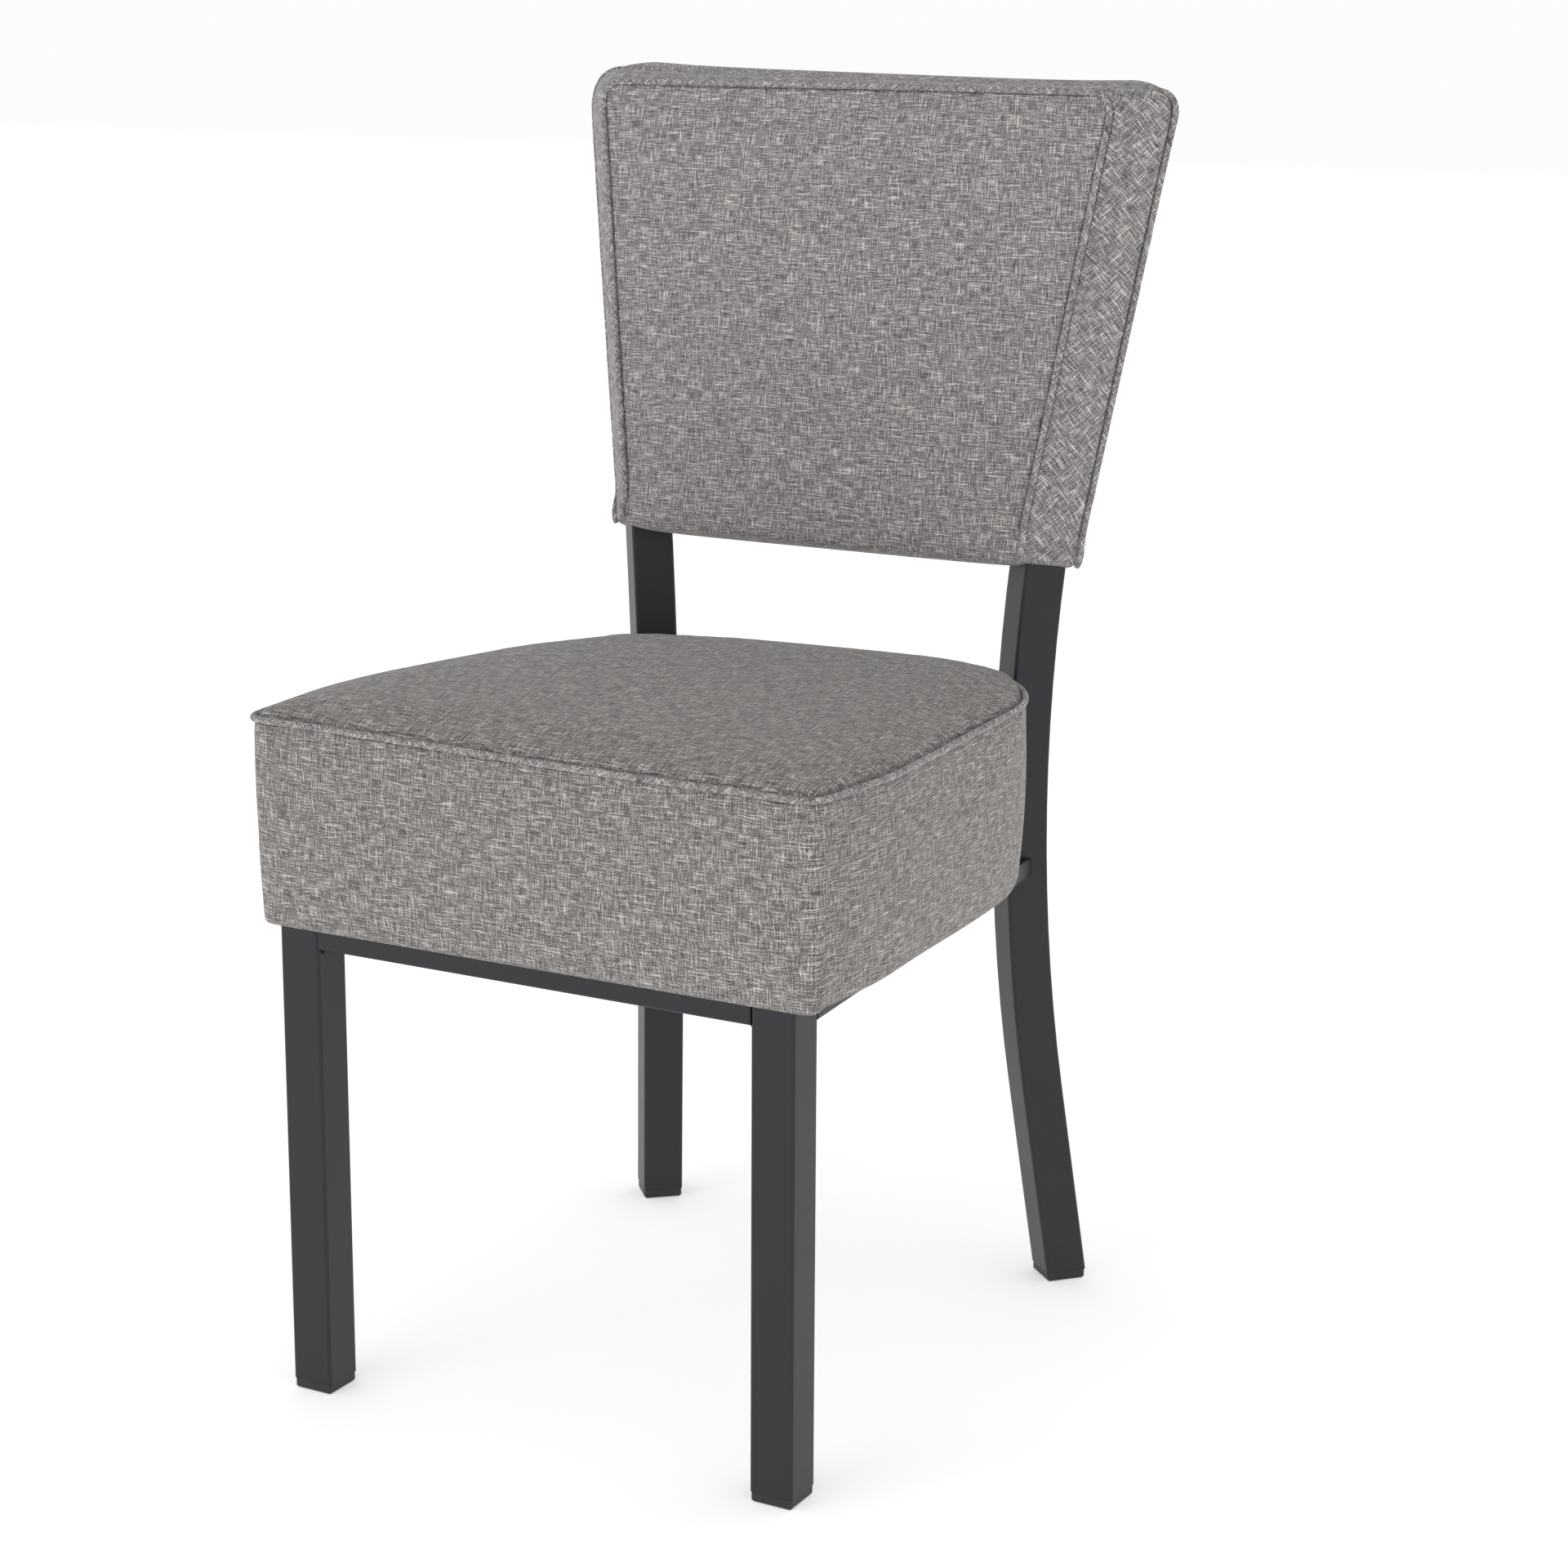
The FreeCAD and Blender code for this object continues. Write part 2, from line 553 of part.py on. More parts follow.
def back_block(inset):
    """The whole back as a closed solid, with every face moved in by inset."""
    z0, z1 = BACK_BOTTOM - BEYOND, BACK_REAR_TOP + BEYOND
    block = flat_sided(back_plan(inset, z0), back_plan(inset, z1))
    side = [(back_plane_y(BACK_FRONT_Y, BACK_BOTTOM) + inset, BACK_BOTTOM + inset),
            (BACK_REAR_Y - inset, BACK_BOTTOM + inset),
            (back_plane_y(BACK_REAR_Y, BACK_REAR_TOP) - inset, BACK_REAR_TOP - inset),
            (back_plane_y(BACK_FRONT_Y, BACK_FRONT_TOP) + inset, BACK_FRONT_TOP - inset)]
    points = [Vector(-FAR, y, z) for y, z in side]
    profile = Part.Face(Part.makePolygon(points + points[:1])).extrude(Vector(2 * FAR, 0, 0))
    block = block.common(profile)
    top_edges = [edge for edge in block.Edges if is_top_corner(edge)]
    return one(block.makeFillet(BACK_CORNER - inset, top_edges))


def is_top_corner(edge):
    """True for the edges where the back's top meets its sides."""
    reach = edge.BoundBox
    return reach.ZMin > BACK_FRONT_TOP - BACK_CORNER and reach.XLength < BACK_HALF_FRONT


def back_board():
    """Plywood panel between the posts, ahead of the cross tubes."""
    front = BACK_FRONT_Y + BACK_BOARD_SET
    slab = leaning_slab(front, front + BACK_BOARD_THICKNESS)
    slope = tan(radians(BACK_FLARE))
    z0 = BACK_BOTTOM + BACK_BOARD_MARGIN
    z1 = BACK_FRONT_TOP - BACK_BOARD_MARGIN
    half = POST_AT_BOTTOM.x - POST_HALF_DIAGONAL - BACK_BOARD_GAP + (z0 - BACK_BOTTOM) * slope
    outline = [(-half, z0), (half, z0), (half + (z1 - z0) * slope, z1), (-half - (z1 - z0) * slope, z1)]
    points = [Vector(x, 0, z) for x, z in outline]
    panel = Part.Face(Part.makePolygon(points + points[:1])).extrude(Vector(0, FAR, 0))
    return one(slab.common(panel))


def back_rail_y():
    """Y at the bottom of the cross tubes' front faces: against the back of the board."""
    return BACK_FRONT_Y + BACK_BOARD_SET + BACK_BOARD_THICKNESS


def back_rail(height):
    """A square tube across the posts, square to the back, coped to them."""
    y = back_plane_y(back_rail_y(), BACK_BOTTOM + height)
    z = BACK_BOTTOM + height
    half = post_centre(z).x
    tube = box(-half, half, 0, BACK_RAIL, -BACK_RAIL / 2, BACK_RAIL / 2)
    w = BACK_RAIL_WALL
    tube = tube.cut(box(-FAR, FAR, w, BACK_RAIL - w, -BACK_RAIL / 2 + w, BACK_RAIL / 2 - w))
    tube.rotate(Vector(0, 0, 0), Vector(1, 0, 0), -BACK_RECLINE)
    tube.translate(Vector(0, y, z))
    tube = cut(tube, rear_post(0), mirrored(rear_post(0)))
    return max(tube.Solids, key=lambda solid: solid.Volume)


def back_screw_places():
    places = []
    for height in (BACK_RAIL_LOW, BACK_RAIL_HIGH):
        for side in SIDES.values():
            z = BACK_BOTTOM + height
            y = back_plane_y(BACK_FRONT_Y + BACK_BOARD_SET, z)
            places.append(Vector(side * BACK_SCREW_SPREAD, y, z))
    return places


def back_screws(grow=0.0):
    """Countersunk screws through the board into the cross tubes."""
    r, head = BACK_SCREW / 2 + grow, BACK_SCREW_HEAD / 2 + grow
    length = BACK_BOARD_THICKNESS + BACK_SCREW_BITE
    screws = []
    for place in back_screw_places():
        cone = Part.makeCone(head, r, head - r)
        screw = one(cone.fuse(Part.makeCylinder(r, length)))
        screw.rotate(Vector(0, 0, 0), Vector(1, 0, 0), -90 - BACK_RECLINE)
        screw.translate(place)
        screws.append(screw)
    return screws


def post_cap():
    """A flat plastic cap with a plug, on the post's upper end."""
    plug = plug_section().extrude(Vector(0, 0, GLIDE_PLUG))
    plug.rotate(Vector(0, 0, GLIDE_PLUG), Vector(0, 1, 0), POST_UPPER_LEAN)
    plug.translate(Vector(post_path_point(POST_TOP), 0, POST_TOP - GLIDE_PLUG))
    plug = post_place(plug)
    plate = rear_plate(POST_TOP, CAP_TOP)
    return one(plate.fuse(plug.common(box(-FAR, FAR, -FAR, FAR, 0, POST_TOP + 1))))


def rear_plate(z, thickness):
    plate = square_face(TUBE, TUBE_CORNER).extrude(Vector(0, 0, thickness))
    plate.rotate(Vector(0, 0, 0), Vector(0, 0, 1), 90 - POST_TURN)
    centre = post_centre(z)
    plate.translate(Vector(centre.x, centre.y, z))
    return plate


def back_pieces():
    outer, inner = back_block(0), back_block(FABRIC)
    posts = [rear_post(0), mirrored(rear_post(0))]
    caps = [post_cap(), mirrored(post_cap())]
    shell = cut(outer, inner, *posts)
    front_zone = leaning_slab(-FAR, BACK_FRONT_Y + FABRIC)
    rear_zone = leaning_slab(BACK_SEAM_Y, FAR)
    floor_zone = box(-FAR, FAR, -FAR, FAR, 0, BACK_BOTTOM + FABRIC)
    nodes["back_bottom_cover"] = one(shell.common(floor_zone))
    shell = shell.cut(floor_zone)
    nodes["back_front_cover"] = one(shell.common(front_zone))
    nodes["back_rear_cover"] = one(shell.common(rear_zone))
    nodes["back_boxing"] = one(cut(shell, front_zone, rear_zone))
    board = back_board()
    rails = [back_rail(BACK_RAIL_LOW), back_rail(BACK_RAIL_HIGH)]
    screws = back_screws()
    filling = cut(inner, board, *rails, *posts, *caps, *screws)
    split = BACK_FRONT_Y + BACK_BOARD_SET
    nodes["back_foam_front"] = one(filling.common(leaning_slab(-FAR, split)))
    nodes["back_foam_rear"] = one(filling.common(leaning_slab(split, FAR)))
    nodes["back_board"] = one(cut(board, *screws))
    nodes["back_rail_lower"], nodes["back_rail_upper"] = [cut(rail, *screws) for rail in rails]
    nodes["back_board_screws"] = Part.makeCompound(screws)
    nodes["post_top_caps"] = Part.makeCompound(caps)


def back_welt(y_at_bottom, x_offset, z_top):
    """Piping up one side, across the top and down the other, along a seam of the back."""
    half = BACK_HALF_FRONT + x_offset + WELT_STANDOFF
    flare = tan(radians(BACK_FLARE))
    z0 = BACK_BOTTOM + WELT

    def seam(side, z):
        x = half + (z - BACK_BOTTOM) * flare
        return Vector(side * x, back_plane_y(y_at_bottom, z), z)

    top = z_top - WELT / 2 + WELT_STANDOFF
    points = [seam(1, z0), seam(1, top), seam(-1, top), seam(-1, z0)]
    radius = BACK_CORNER
    runs = []
    start = points[0]
    for i in (1, 2):
        u = (points[i] - points[i - 1]).normalize()
        v = (points[i + 1] - points[i]).normalize()
        turn = u.getAngle(v)
        reach = radius * tan(turn / 2)
        middle = points[i] + (v - u).normalize() * (radius / cos(turn / 2) - radius)
        runs.append(Part.LineSegment(start, points[i] - u * reach).toShape())
        runs.append(Part.Arc(points[i] - u * reach, middle, points[i] + v * reach).toShape())
        start = points[i] + v * reach
    runs.append(Part.LineSegment(start, points[3]).toShape())
    path = Part.Wire(runs)
    ring = Part.Wire(Part.makeCircle(WELT / 2, points[0], (points[1] - points[0]).normalize()))
    return path.makePipeShell([ring], True, False)


# ---- welds ----
def bead(x, y0, y1, z, up):
    """A fillet weld along Y in the corner between a side rail or leg and a rail's face."""
    tri = [Vector(x, y0, z), Vector(x - WELD_LEG, y0, z), Vector(x, y0, z + up * WELD_LEG)]
    return Part.Face(Part.makePolygon(tri + tri[:1])).extrude(Vector(0, y1 - y0, 0))


def weld_beads():
    """Beads under the front rail at each leg, and under the side rails at the legs."""
    beads = []
    inner = FRAME_HALF_WIDTH - TUBE
    for side in SIDES.values():
        beads.append(on_side(bead(inner, TUBE_CORNER * 2, TUBE - TUBE_CORNER * 2, RAIL_Z0, -1), side))
        tri = [Vector(inner + TUBE_CORNER * 2, TUBE, RAIL_Z0),
               Vector(inner + TUBE_CORNER * 2, TUBE + WELD_LEG, RAIL_Z0),
               Vector(inner + TUBE_CORNER * 2, TUBE, RAIL_Z0 - WELD_LEG)]
        face = Part.Face(Part.makePolygon(tri + tri[:1]))
        beads.append(on_side(face.extrude(Vector(TUBE - TUBE_CORNER * 4, 0, 0)), side))
    return Part.makeCompound(beads)


# ---- assembly ----
def build():
    for name, side in SIDES.items():
        nodes["front_leg_" + name] = on_side(front_leg(), side)
        nodes["rear_post_" + name] = on_side(rear_post(), side)
        nodes["side_rail_" + name] = on_side(side_rail(), side)
        nodes["glide_front_" + name] = on_side(front_glide(), side)
        nodes["glide_rear_" + name] = on_side(rear_glide(), side)
    nodes["front_rail"] = front_rail()
    nodes["rear_rail"] = rear_rail()
    nodes["seat_brackets"] = Part.makeCompound(
        [on_side(bracket(rear), side) for rear in (False, True) for side in SIDES.values()])
    nodes["weld_beads"] = weld_beads()
    seat_pieces()
    nodes["seat_welt"] = seat_welt()
    back_pieces()
    nodes["back_front_welt"] = back_welt(BACK_FRONT_Y - WELT / 2, 0, BACK_FRONT_TOP)
    share = BACK_BAND_Y / (BACK_BAND_Y + BACK_REAR_SLANT)
    seam_top = BACK_FRONT_TOP + share * (BACK_REAR_TOP - BACK_FRONT_TOP)
    nodes["back_rear_welt"] = back_welt(BACK_SEAM_Y, BACK_BAND_X + WELT / 2, seam_top + WELT)


def write():
    whole = Part.makeCompound(list(nodes.values())).optimalBoundingBox(True, False)
    shift = Vector(0, -(whole.YMin + whole.YMax) / 2, -whole.ZMin)
    for name, shape in nodes.items():
        shape.translate(shift)
        shape.exportStep("parts/" + name + ".step")
        valid = "" if shape.isValid() else "  NOT VALID"
        print("%-20s %2d solids %10.1f cm3%s" % (name, len(shape.Solids), shape.Volume / 1000, valid))
    print("overall %.1f x %.1f x %.1f, shift %.2f" % (
        whole.XLength, whole.YLength, whole.ZLength, shift.y))


build()
write()
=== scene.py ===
import sys
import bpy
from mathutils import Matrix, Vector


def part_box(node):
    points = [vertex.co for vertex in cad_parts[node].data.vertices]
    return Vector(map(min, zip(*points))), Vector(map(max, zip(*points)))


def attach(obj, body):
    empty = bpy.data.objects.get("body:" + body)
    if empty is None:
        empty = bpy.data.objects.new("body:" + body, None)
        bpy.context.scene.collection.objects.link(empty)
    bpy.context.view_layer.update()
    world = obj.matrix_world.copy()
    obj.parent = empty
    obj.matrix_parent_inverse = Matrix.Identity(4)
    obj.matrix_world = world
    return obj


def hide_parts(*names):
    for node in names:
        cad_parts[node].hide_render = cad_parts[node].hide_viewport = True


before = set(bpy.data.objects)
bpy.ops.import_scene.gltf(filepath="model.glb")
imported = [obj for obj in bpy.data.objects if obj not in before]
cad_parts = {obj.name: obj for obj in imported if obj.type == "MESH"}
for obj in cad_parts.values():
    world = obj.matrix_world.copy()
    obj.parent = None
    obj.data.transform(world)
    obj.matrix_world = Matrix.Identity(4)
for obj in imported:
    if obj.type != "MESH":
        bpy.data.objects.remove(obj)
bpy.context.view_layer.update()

"""Dining chair with a steel frame: powder-coated tube, a deep boxed seat cushion and a
boxed back, both covered in heathered weave with self-fabric welts. Sizes are in metres.
Heights are from the floor and setbacks from the front faces of the front legs."""

import logging
import math
from collections.abc import Callable
from dataclasses import dataclass, field
from enum import Enum

import bpy
import numpy as np
from mathutils import Matrix, Vector

LOG = logging.getLogger("chair")
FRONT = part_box("front_leg_right")[0].y
BODY = "root"
TWO_PI = 2 * math.pi
FOAM_GIVE = 0.12  # share of the cloth's inward pull that the foam lets through

Lift = Callable[[np.ndarray, np.ndarray], np.ndarray]
Plan = tuple[int, int]
NO_SEAM = 1.0  # metres: further from a seam than its shade can reach
SIDE_OVER_END = 1.6  # how much further in from a panel's sides than from its ends they rule


# ---------------------------------------------------------------- shader tools


class Number:
    """A varying number in a material, which Python's operators work on."""

    def __init__(self, shader: "Shader", socket: bpy.types.NodeSocket) -> None:
        """Keeps the socket and the material it belongs to."""
        self.shader, self.socket = shader, socket

    def _maths(self, operation: str, first: object, second: object) -> "Number":
        """Adds one Math node for an operator."""
        return self.shader.maths(operation, first, second)

    def __add__(self, other: object) -> "Number":
        """Sum."""
        return self._maths("ADD", self, other)

    def __sub__(self, other: object) -> "Number":
        """Difference."""
        return self._maths("SUBTRACT", self, other)

    def __rsub__(self, other: object) -> "Number":
        """Difference, with this number taken away."""
        return self._maths("SUBTRACT", other, self)

    def __mul__(self, other: object) -> "Number":
        """Product."""
        return self._maths("MULTIPLY", self, other)

    __radd__ = __add__


class Shader:
    """A material in the making: its nodes, and short ways to add more."""

    def __init__(self, name: str, world: bpy.types.World | None = None) -> None:
        """Starts an empty material, or clears a world for new nodes.

        Args:
            name: the material's name.
            world: the world to light instead.
        """
        self.material = world or bpy.data.materials.new(name)
        self.material.use_nodes = True
        self.tree = self.material.node_tree
        self.tree.nodes.clear()

    def node(self, kind: str, settings: dict | None = None,
             inputs: dict | None = None) -> bpy.types.Node:
        """Adds a node.

        Args:
            kind: the node's type, without the ShaderNode in front.
            settings: attributes set before the sockets; stops is a ramp's list of place and colour.
            inputs: values or links by socket name or number.

        Returns:
            The new node.
        """
        made = self.tree.nodes.new("ShaderNode" + kind)
        for key, value in (settings or {}).items():
            if key == "stops":
                ramp = made.color_ramp
                while len(ramp.elements) < len(value):
                    ramp.elements.new(0.5)
                for element, (place, colour) in zip(ramp.elements, value):
                    element.position, element.color = place, (*colour, 1.0)
            else:
                setattr(made, key, value)
        for key, value in (inputs or {}).items():
            socket = made.inputs[key]
            if isinstance(value, Number):
                value = value.socket
            if isinstance(value, bpy.types.NodeSocket):
                self.tree.links.new(value, socket)
            elif socket.type == "RGBA" and len(value) == 3:
                socket.default_value = (*value, 1.0)
            else:
                socket.default_value = value
        return made

    def maths(self, operation: str, *values: object) -> Number:
        """A Math node's result.

        Args:
            operation: the Math node's operation.
            values: its numbers or links, in order.

        Returns:
            The result as a number.
        """
        made = self.node("Math", {"operation": operation}, dict(enumerate(values)))
        return Number(self, made.outputs[0])

    def ramp(self, value: Number, low: float, high: float,
             start: float = 0.0, end: float = 1.0) -> Number:
        """A number moved smoothly from one range to another, and held at its ends.

        Args:
            value: the number.
            low: where the change starts.
            high: where it ends.
            start: the result at low.
            end: the result at high.

        Returns:
            The result.
        """
        made = self.node("MapRange", {"interpolation_type": "SMOOTHSTEP"},
                         {0: value, 1: low, 2: high, 3: start, 4: end})
        return Number(self, made.outputs[0])

    def noise(self, place: bpy.types.NodeSocket, scale: float = 1.0, detail: float = 1.0) -> Number:
        """Noise from 0 to 1 about 0.5.

        Args:
            place: the coordinates.
            scale: features in a unit of them.
            detail: octaves.

        Returns:
            The noise.
        """
        made = self.node("TexNoise", None, {"Vector": place, "Scale": scale, "Detail": detail})
        return Number(self, made.outputs["Fac"])

    def mix(self, share: object, first: object, second: object,
            blend: str = "MIX") -> bpy.types.NodeSocket:
        """Two colours mixed.

        Args:
            share: how much of the second.
            first: a colour or link.
            second: a colour or link.
            blend: the Mix node's blend type.

        Returns:
            The colour's socket.
        """
        made = self.node("Mix", {"data_type": "RGBA", "blend_type": blend},
                         {0: share, 6: first, 7: second})
        return made.outputs[2]

    def place(self, vector: object, operation: str, other: object) -> bpy.types.NodeSocket:
        """Coordinates after one Vector Math node.

        Args:
            vector: the coordinates.
            operation: the node's operation.
            other: its second vector.

        Returns:
            The result's socket.
        """
        made = self.node("VectorMath", {"operation": operation}, {0: vector, 1: other})
        return made.outputs[0]

    def object_place(self) -> bpy.types.NodeSocket:
        """Coordinates in the object's own space, in metres."""
        return self.node("TexCoord").outputs["Object"]

    def finish(self, inputs: dict, height: Number | None = None, depth: float = 0.0,
               strength: float = 1.0, edge: float = 0.0) -> bpy.types.Material:
        """Ends the material in a surface shader.

        Args:
            inputs: the shader's sockets.
            height: relief, from 0 to 1.
            depth: how deep that relief is.
            strength: how strongly it shows.
            edge: radius that hard edges seem rounded to, or 0.

        Returns:
            The finished material.
        """
        inputs = dict(inputs)
        if edge:
            inputs["Normal"] = self.node("Bevel", {"samples": 4}, {"Radius": edge}).outputs[0]
        if height is not None:
            relief = {"Height": height, "Distance": depth, "Strength": strength}
            if edge:
                relief["Normal"] = inputs["Normal"]
            inputs["Normal"] = self.node("Bump", None, relief).outputs[0]
        surface = self.node("BsdfPrincipled", None, inputs)
        out = self.node("OutputMaterial")
        self.tree.links.new(surface.outputs[0], out.inputs["Surface"])
        return self.material


def linear(red: int, green: int, blue: int) -> tuple[float, float, float]:
    """A colour on the paint card's scale of 0 to 255, as light."""
    return tuple((c / 255 / 12.92) if c <= 10 else ((c / 255 + 0.055) / 1.055) ** 2.4
                 for c in (red, green, blue))


# -------------------------------------------------------------------- finishes


class Grain(Enum):
    """How the cloth is cut against a panel's own directions."""

    STRAIGHT = 0.0
    BIAS = math.radians(45)


@dataclass(frozen=True)
class HeatheredWeave:
    """Plain weave of mixed light and dark yarns, with slubs both ways."""

    yarn: float = 0.00096
    dark: tuple[float, float, float] = linear(70, 67, 68)
    middle: tuple[float, float, float] = linear(129, 125, 125)
    light: tuple[float, float, float] = linear(216, 212, 208)
    slubs: float = 1.0
    # seam_shade, seam_line and seam_fade set a painted shade: a dark line on the cloth just beside each
    # welt, where the seam's groove falls in shade.
    seam_shade: float = 0.75
    seam_line: float = 0.0025
    seam_fade: float = 0.0038

    def material(self, name: str, grain: Grain) -> bpy.types.Material:
        """Makes the cloth's material for one cut.

        Args:
            name: the material's name.
            grain: how the cloth is cut.

        Returns:
            The material.
        """
        sh = Shader(name)
        laid = sh.node("Attribute", {"attribute_name": "weave"}).outputs["Vector"]
        split = sh.node("SeparateXYZ", None, {0: laid})
        seam = Number(sh, split.outputs[2])
        flat = sh.node("CombineXYZ", None, {0: split.outputs[0], 1: split.outputs[1]}).outputs[0]
        turned = sh.node("VectorRotate", {"rotation_type": "Z_AXIS"}, {"Vector": flat, "Angle": grain.value})
        yarns = sh.place(turned.outputs[0], "MULTIPLY", (1 / self.yarn,) * 3)
        sway = sh.node("TexNoise", None, {"Vector": yarns, "Scale": 0.05, "Detail": 1.0}).outputs["Color"]
        yarns = sh.place(yarns, "ADD", sh.place(sway, "MULTIPLY", (2.4, 2.4, 0.0)))
        weft = sh.noise(sh.place(yarns, "MULTIPLY", (0.085, 1.0, 0.0)), detail=1.0)
        warp = sh.noise(sh.place(yarns, "MULTIPLY", (1.0, 0.105, 0.0)), detail=1.0)
        slub_weft = sh.noise(sh.place(yarns, "MULTIPLY", (0.05, 0.85, 7.0)))
        slub_warp = sh.noise(sh.place(yarns, "MULTIPLY", (0.85, 0.065, 3.0)))
        parts = sh.node("SeparateXYZ", None, {0: yarns})
        wave_x = sh.maths("SINE", Number(sh, parts.outputs[0]) * math.pi)
        wave_y = sh.maths("SINE", Number(sh, parts.outputs[1]) * math.pi)
        over = sh.ramp(wave_x * wave_y, -0.35, 0.35)
        speck = sh.noise(sh.place(yarns, "MULTIPLY", (0.8, 0.8, 1.0)), detail=1.0)
        cloud = sh.noise(sh.place(yarns, "MULTIPLY", (0.028, 0.028, 0.0)), detail=3.0)
        tone = (over * weft + (1 - over) * warp - 0.5) * 1.7
        tone = tone + (speck - 0.5) * 0.6 + (cloud - 0.5) * 0.08
        bright = sh.ramp(slub_weft, 0.61, 0.70) * 0.32 + sh.ramp(slub_warp, 0.62, 0.71) * 0.28
        dull = sh.ramp(slub_weft, 0.38, 0.27) * 0.16 + sh.ramp(slub_warp, 0.37, 0.26) * 0.16
        tone = tone + (bright - dull) * self.slubs
        tone = tone + 0.5
        colour = sh.node("ValToRGB", {"stops": [(0.08, self.dark), (0.5, self.middle), (0.95, self.light)]},
                         {0: tone}).outputs[0]
        # Painted shade beside the seams, as strong as the mesh's seam_shade attribute says at each corner.
        sunk = Number(sh, sh.node("Attribute", {"attribute_name": "seam_shade"}).outputs["Fac"])
        shade = 1 - sh.ramp(seam, self.seam_fade, self.seam_line) * sunk * self.seam_shade
        painted_seam_shade = sh.node("CombineColor", None, {0: shade, 1: shade, 2: shade}).outputs[0]
        shaded = sh.mix(1.0, colour, painted_seam_shade, "MULTIPLY")
        rough = 0.86 - (tone - 0.5) * 0.12
        height = over * weft + (1 - over) * warp + sh.ramp(slub_weft, 0.6, 0.72) * 0.3 + speck * 0.35
        return sh.finish({"Base Color": shaded, "Roughness": rough, "Sheen Weight": 0.12,
                          "Sheen Roughness": 0.5, "Specular IOR Level": 0.25},
                         height, depth=0.00045, strength=0.7)


@dataclass(frozen=True)
class PowderCoat:
    """Charcoal powder coat: satin, with a fine orange peel, and darker on its edges."""

    colour: tuple[float, float, float] = linear(32, 33, 38)
    edge: tuple[float, float, float] = linear(20, 21, 25)
    tint: tuple[float, float, float] = linear(39, 40, 45)
    edge_radius: float = 0.0022
    rough: float = 0.42

    def material(self, name: str) -> bpy.types.Material:
        """Makes the coat's material.

        Args:
            name: the material's name.

        Returns:
            The material.
        """
        sh = Shader(name)
        place = sh.object_place()
        peel = sh.noise(place, 900.0, 2.0)
        drift = sh.noise(place, 14.0, 3.0)
        rounded = sh.node("Bevel", {"samples": 6}, {"Radius": self.edge_radius}).outputs[0]
        true = sh.node("NewGeometry").outputs["True Normal"]
        agreed = sh.node("VectorMath", {"operation": "DOT_PRODUCT"}, {0: rounded, 1: true})
        # The colour turns darker where the surface rounds over an edge.
        edge_mask = sh.ramp(Number(sh, agreed.outputs["Value"]), 0.992, 0.90)
        tint = sh.mix(sh.ramp(drift, 0.3, 0.7, 0.0, 0.35), self.colour, self.tint)
        colour = sh.mix(edge_mask, tint, self.edge)
        rough = self.rough + (drift - 0.5) * 0.12 + (peel - 0.5) * 0.08
        return sh.finish({"Base Color": colour, "Roughness": rough, "Specular IOR Level": 0.36,
                          "Coat Weight": 0.05, "Coat Roughness": 0.35},
                         peel, depth=0.00006, strength=0.5, edge=0.0012)


@dataclass(frozen=True)
class MouldedPlastic:
    """Black moulded plastic with a faint spark-eroded grain."""

    colour: tuple[float, float, float] = linear(30, 30, 32)
    scuffed: tuple[float, float, float] = linear(58, 58, 60)

    def material(self, name: str) -> bpy.types.Material:
        """Makes the plastic's material.

        Args:
            name: the material's name.

        Returns:
            The material.
        """
        sh = Shader(name)
        place = sh.object_place()
        grain = sh.noise(place, 1400.0, 3.0)
        scuff = sh.noise(sh.place(place, "MULTIPLY", (1.0, 1.0, 0.2)), 260.0, 4.0)
        colour = sh.mix(sh.ramp(scuff, 0.55, 0.75, 0.0, 0.4), self.colour, self.scuffed)
        return sh.finish({"Base Color": colour, "Roughness": 0.5 + (grain - 0.5) * 0.25},
                         grain, depth=0.00008, strength=0.6, edge=0.0006)


@dataclass(frozen=True)
class Plywood:
    """Pale birch plywood, with plies across its edges."""

    light: tuple[float, float, float] = linear(205, 176, 136)
    dark: tuple[float, float, float] = linear(158, 122, 84)

    def material(self, name: str) -> bpy.types.Material:
        """Makes the plywood's material.

        Args:
            name: the material's name.

        Returns:
            The material.
        """
        sh = Shader(name)
        place = sh.object_place()
        grain = sh.noise(sh.place(place, "MULTIPLY", (120.0, 9.0, 120.0)), 1.0, 4.0)
        pore = sh.noise(sh.place(place, "MULTIPLY", (900.0, 40.0, 900.0)), 1.0, 2.0)
        colour = sh.mix(sh.ramp(grain, 0.35, 0.7), self.light, self.dark)
        return sh.finish({"Base Color": colour, "Roughness": 0.62 + (pore - 0.5) * 0.2},
                         pore, depth=0.0001, strength=0.5)


@dataclass(frozen=True)
class DustCloth:
    """Black spun-bonded cloth, with its grid of pressed dots."""

    colour: tuple[float, float, float] = linear(38, 38, 40)
    fibres: tuple[float, float, float] = linear(66, 66, 68)
    pitch: float = 0.0021

    def material(self, name: str) -> bpy.types.Material:
        """Makes the cloth's material.

        Args:
            name: the material's name.

        Returns:
            The material.
        """
        sh = Shader(name)
        place = sh.object_place()
        grid = sh.place(place, "MULTIPLY", (TWO_PI / self.pitch,) * 3)
        parts = sh.node("SeparateXYZ", None, {0: grid})
        rows, lines = (sh.maths("SINE", Number(sh, parts.outputs[k])) for k in (0, 1))
        dots = rows * lines
        pressed = sh.ramp(dots, 0.25, 0.7)
        fibre = sh.noise(place, 700.0, 4.0)
        colour = sh.mix(sh.ramp(fibre, 0.35, 0.7, 0.0, 0.6), self.colour, self.fibres)
        return sh.finish({"Base Color": colour, "Roughness": 0.9 - pressed * 0.25},
                         fibre * 0.5 - pressed * 0.5 + 0.5, depth=0.0003, strength=0.6)


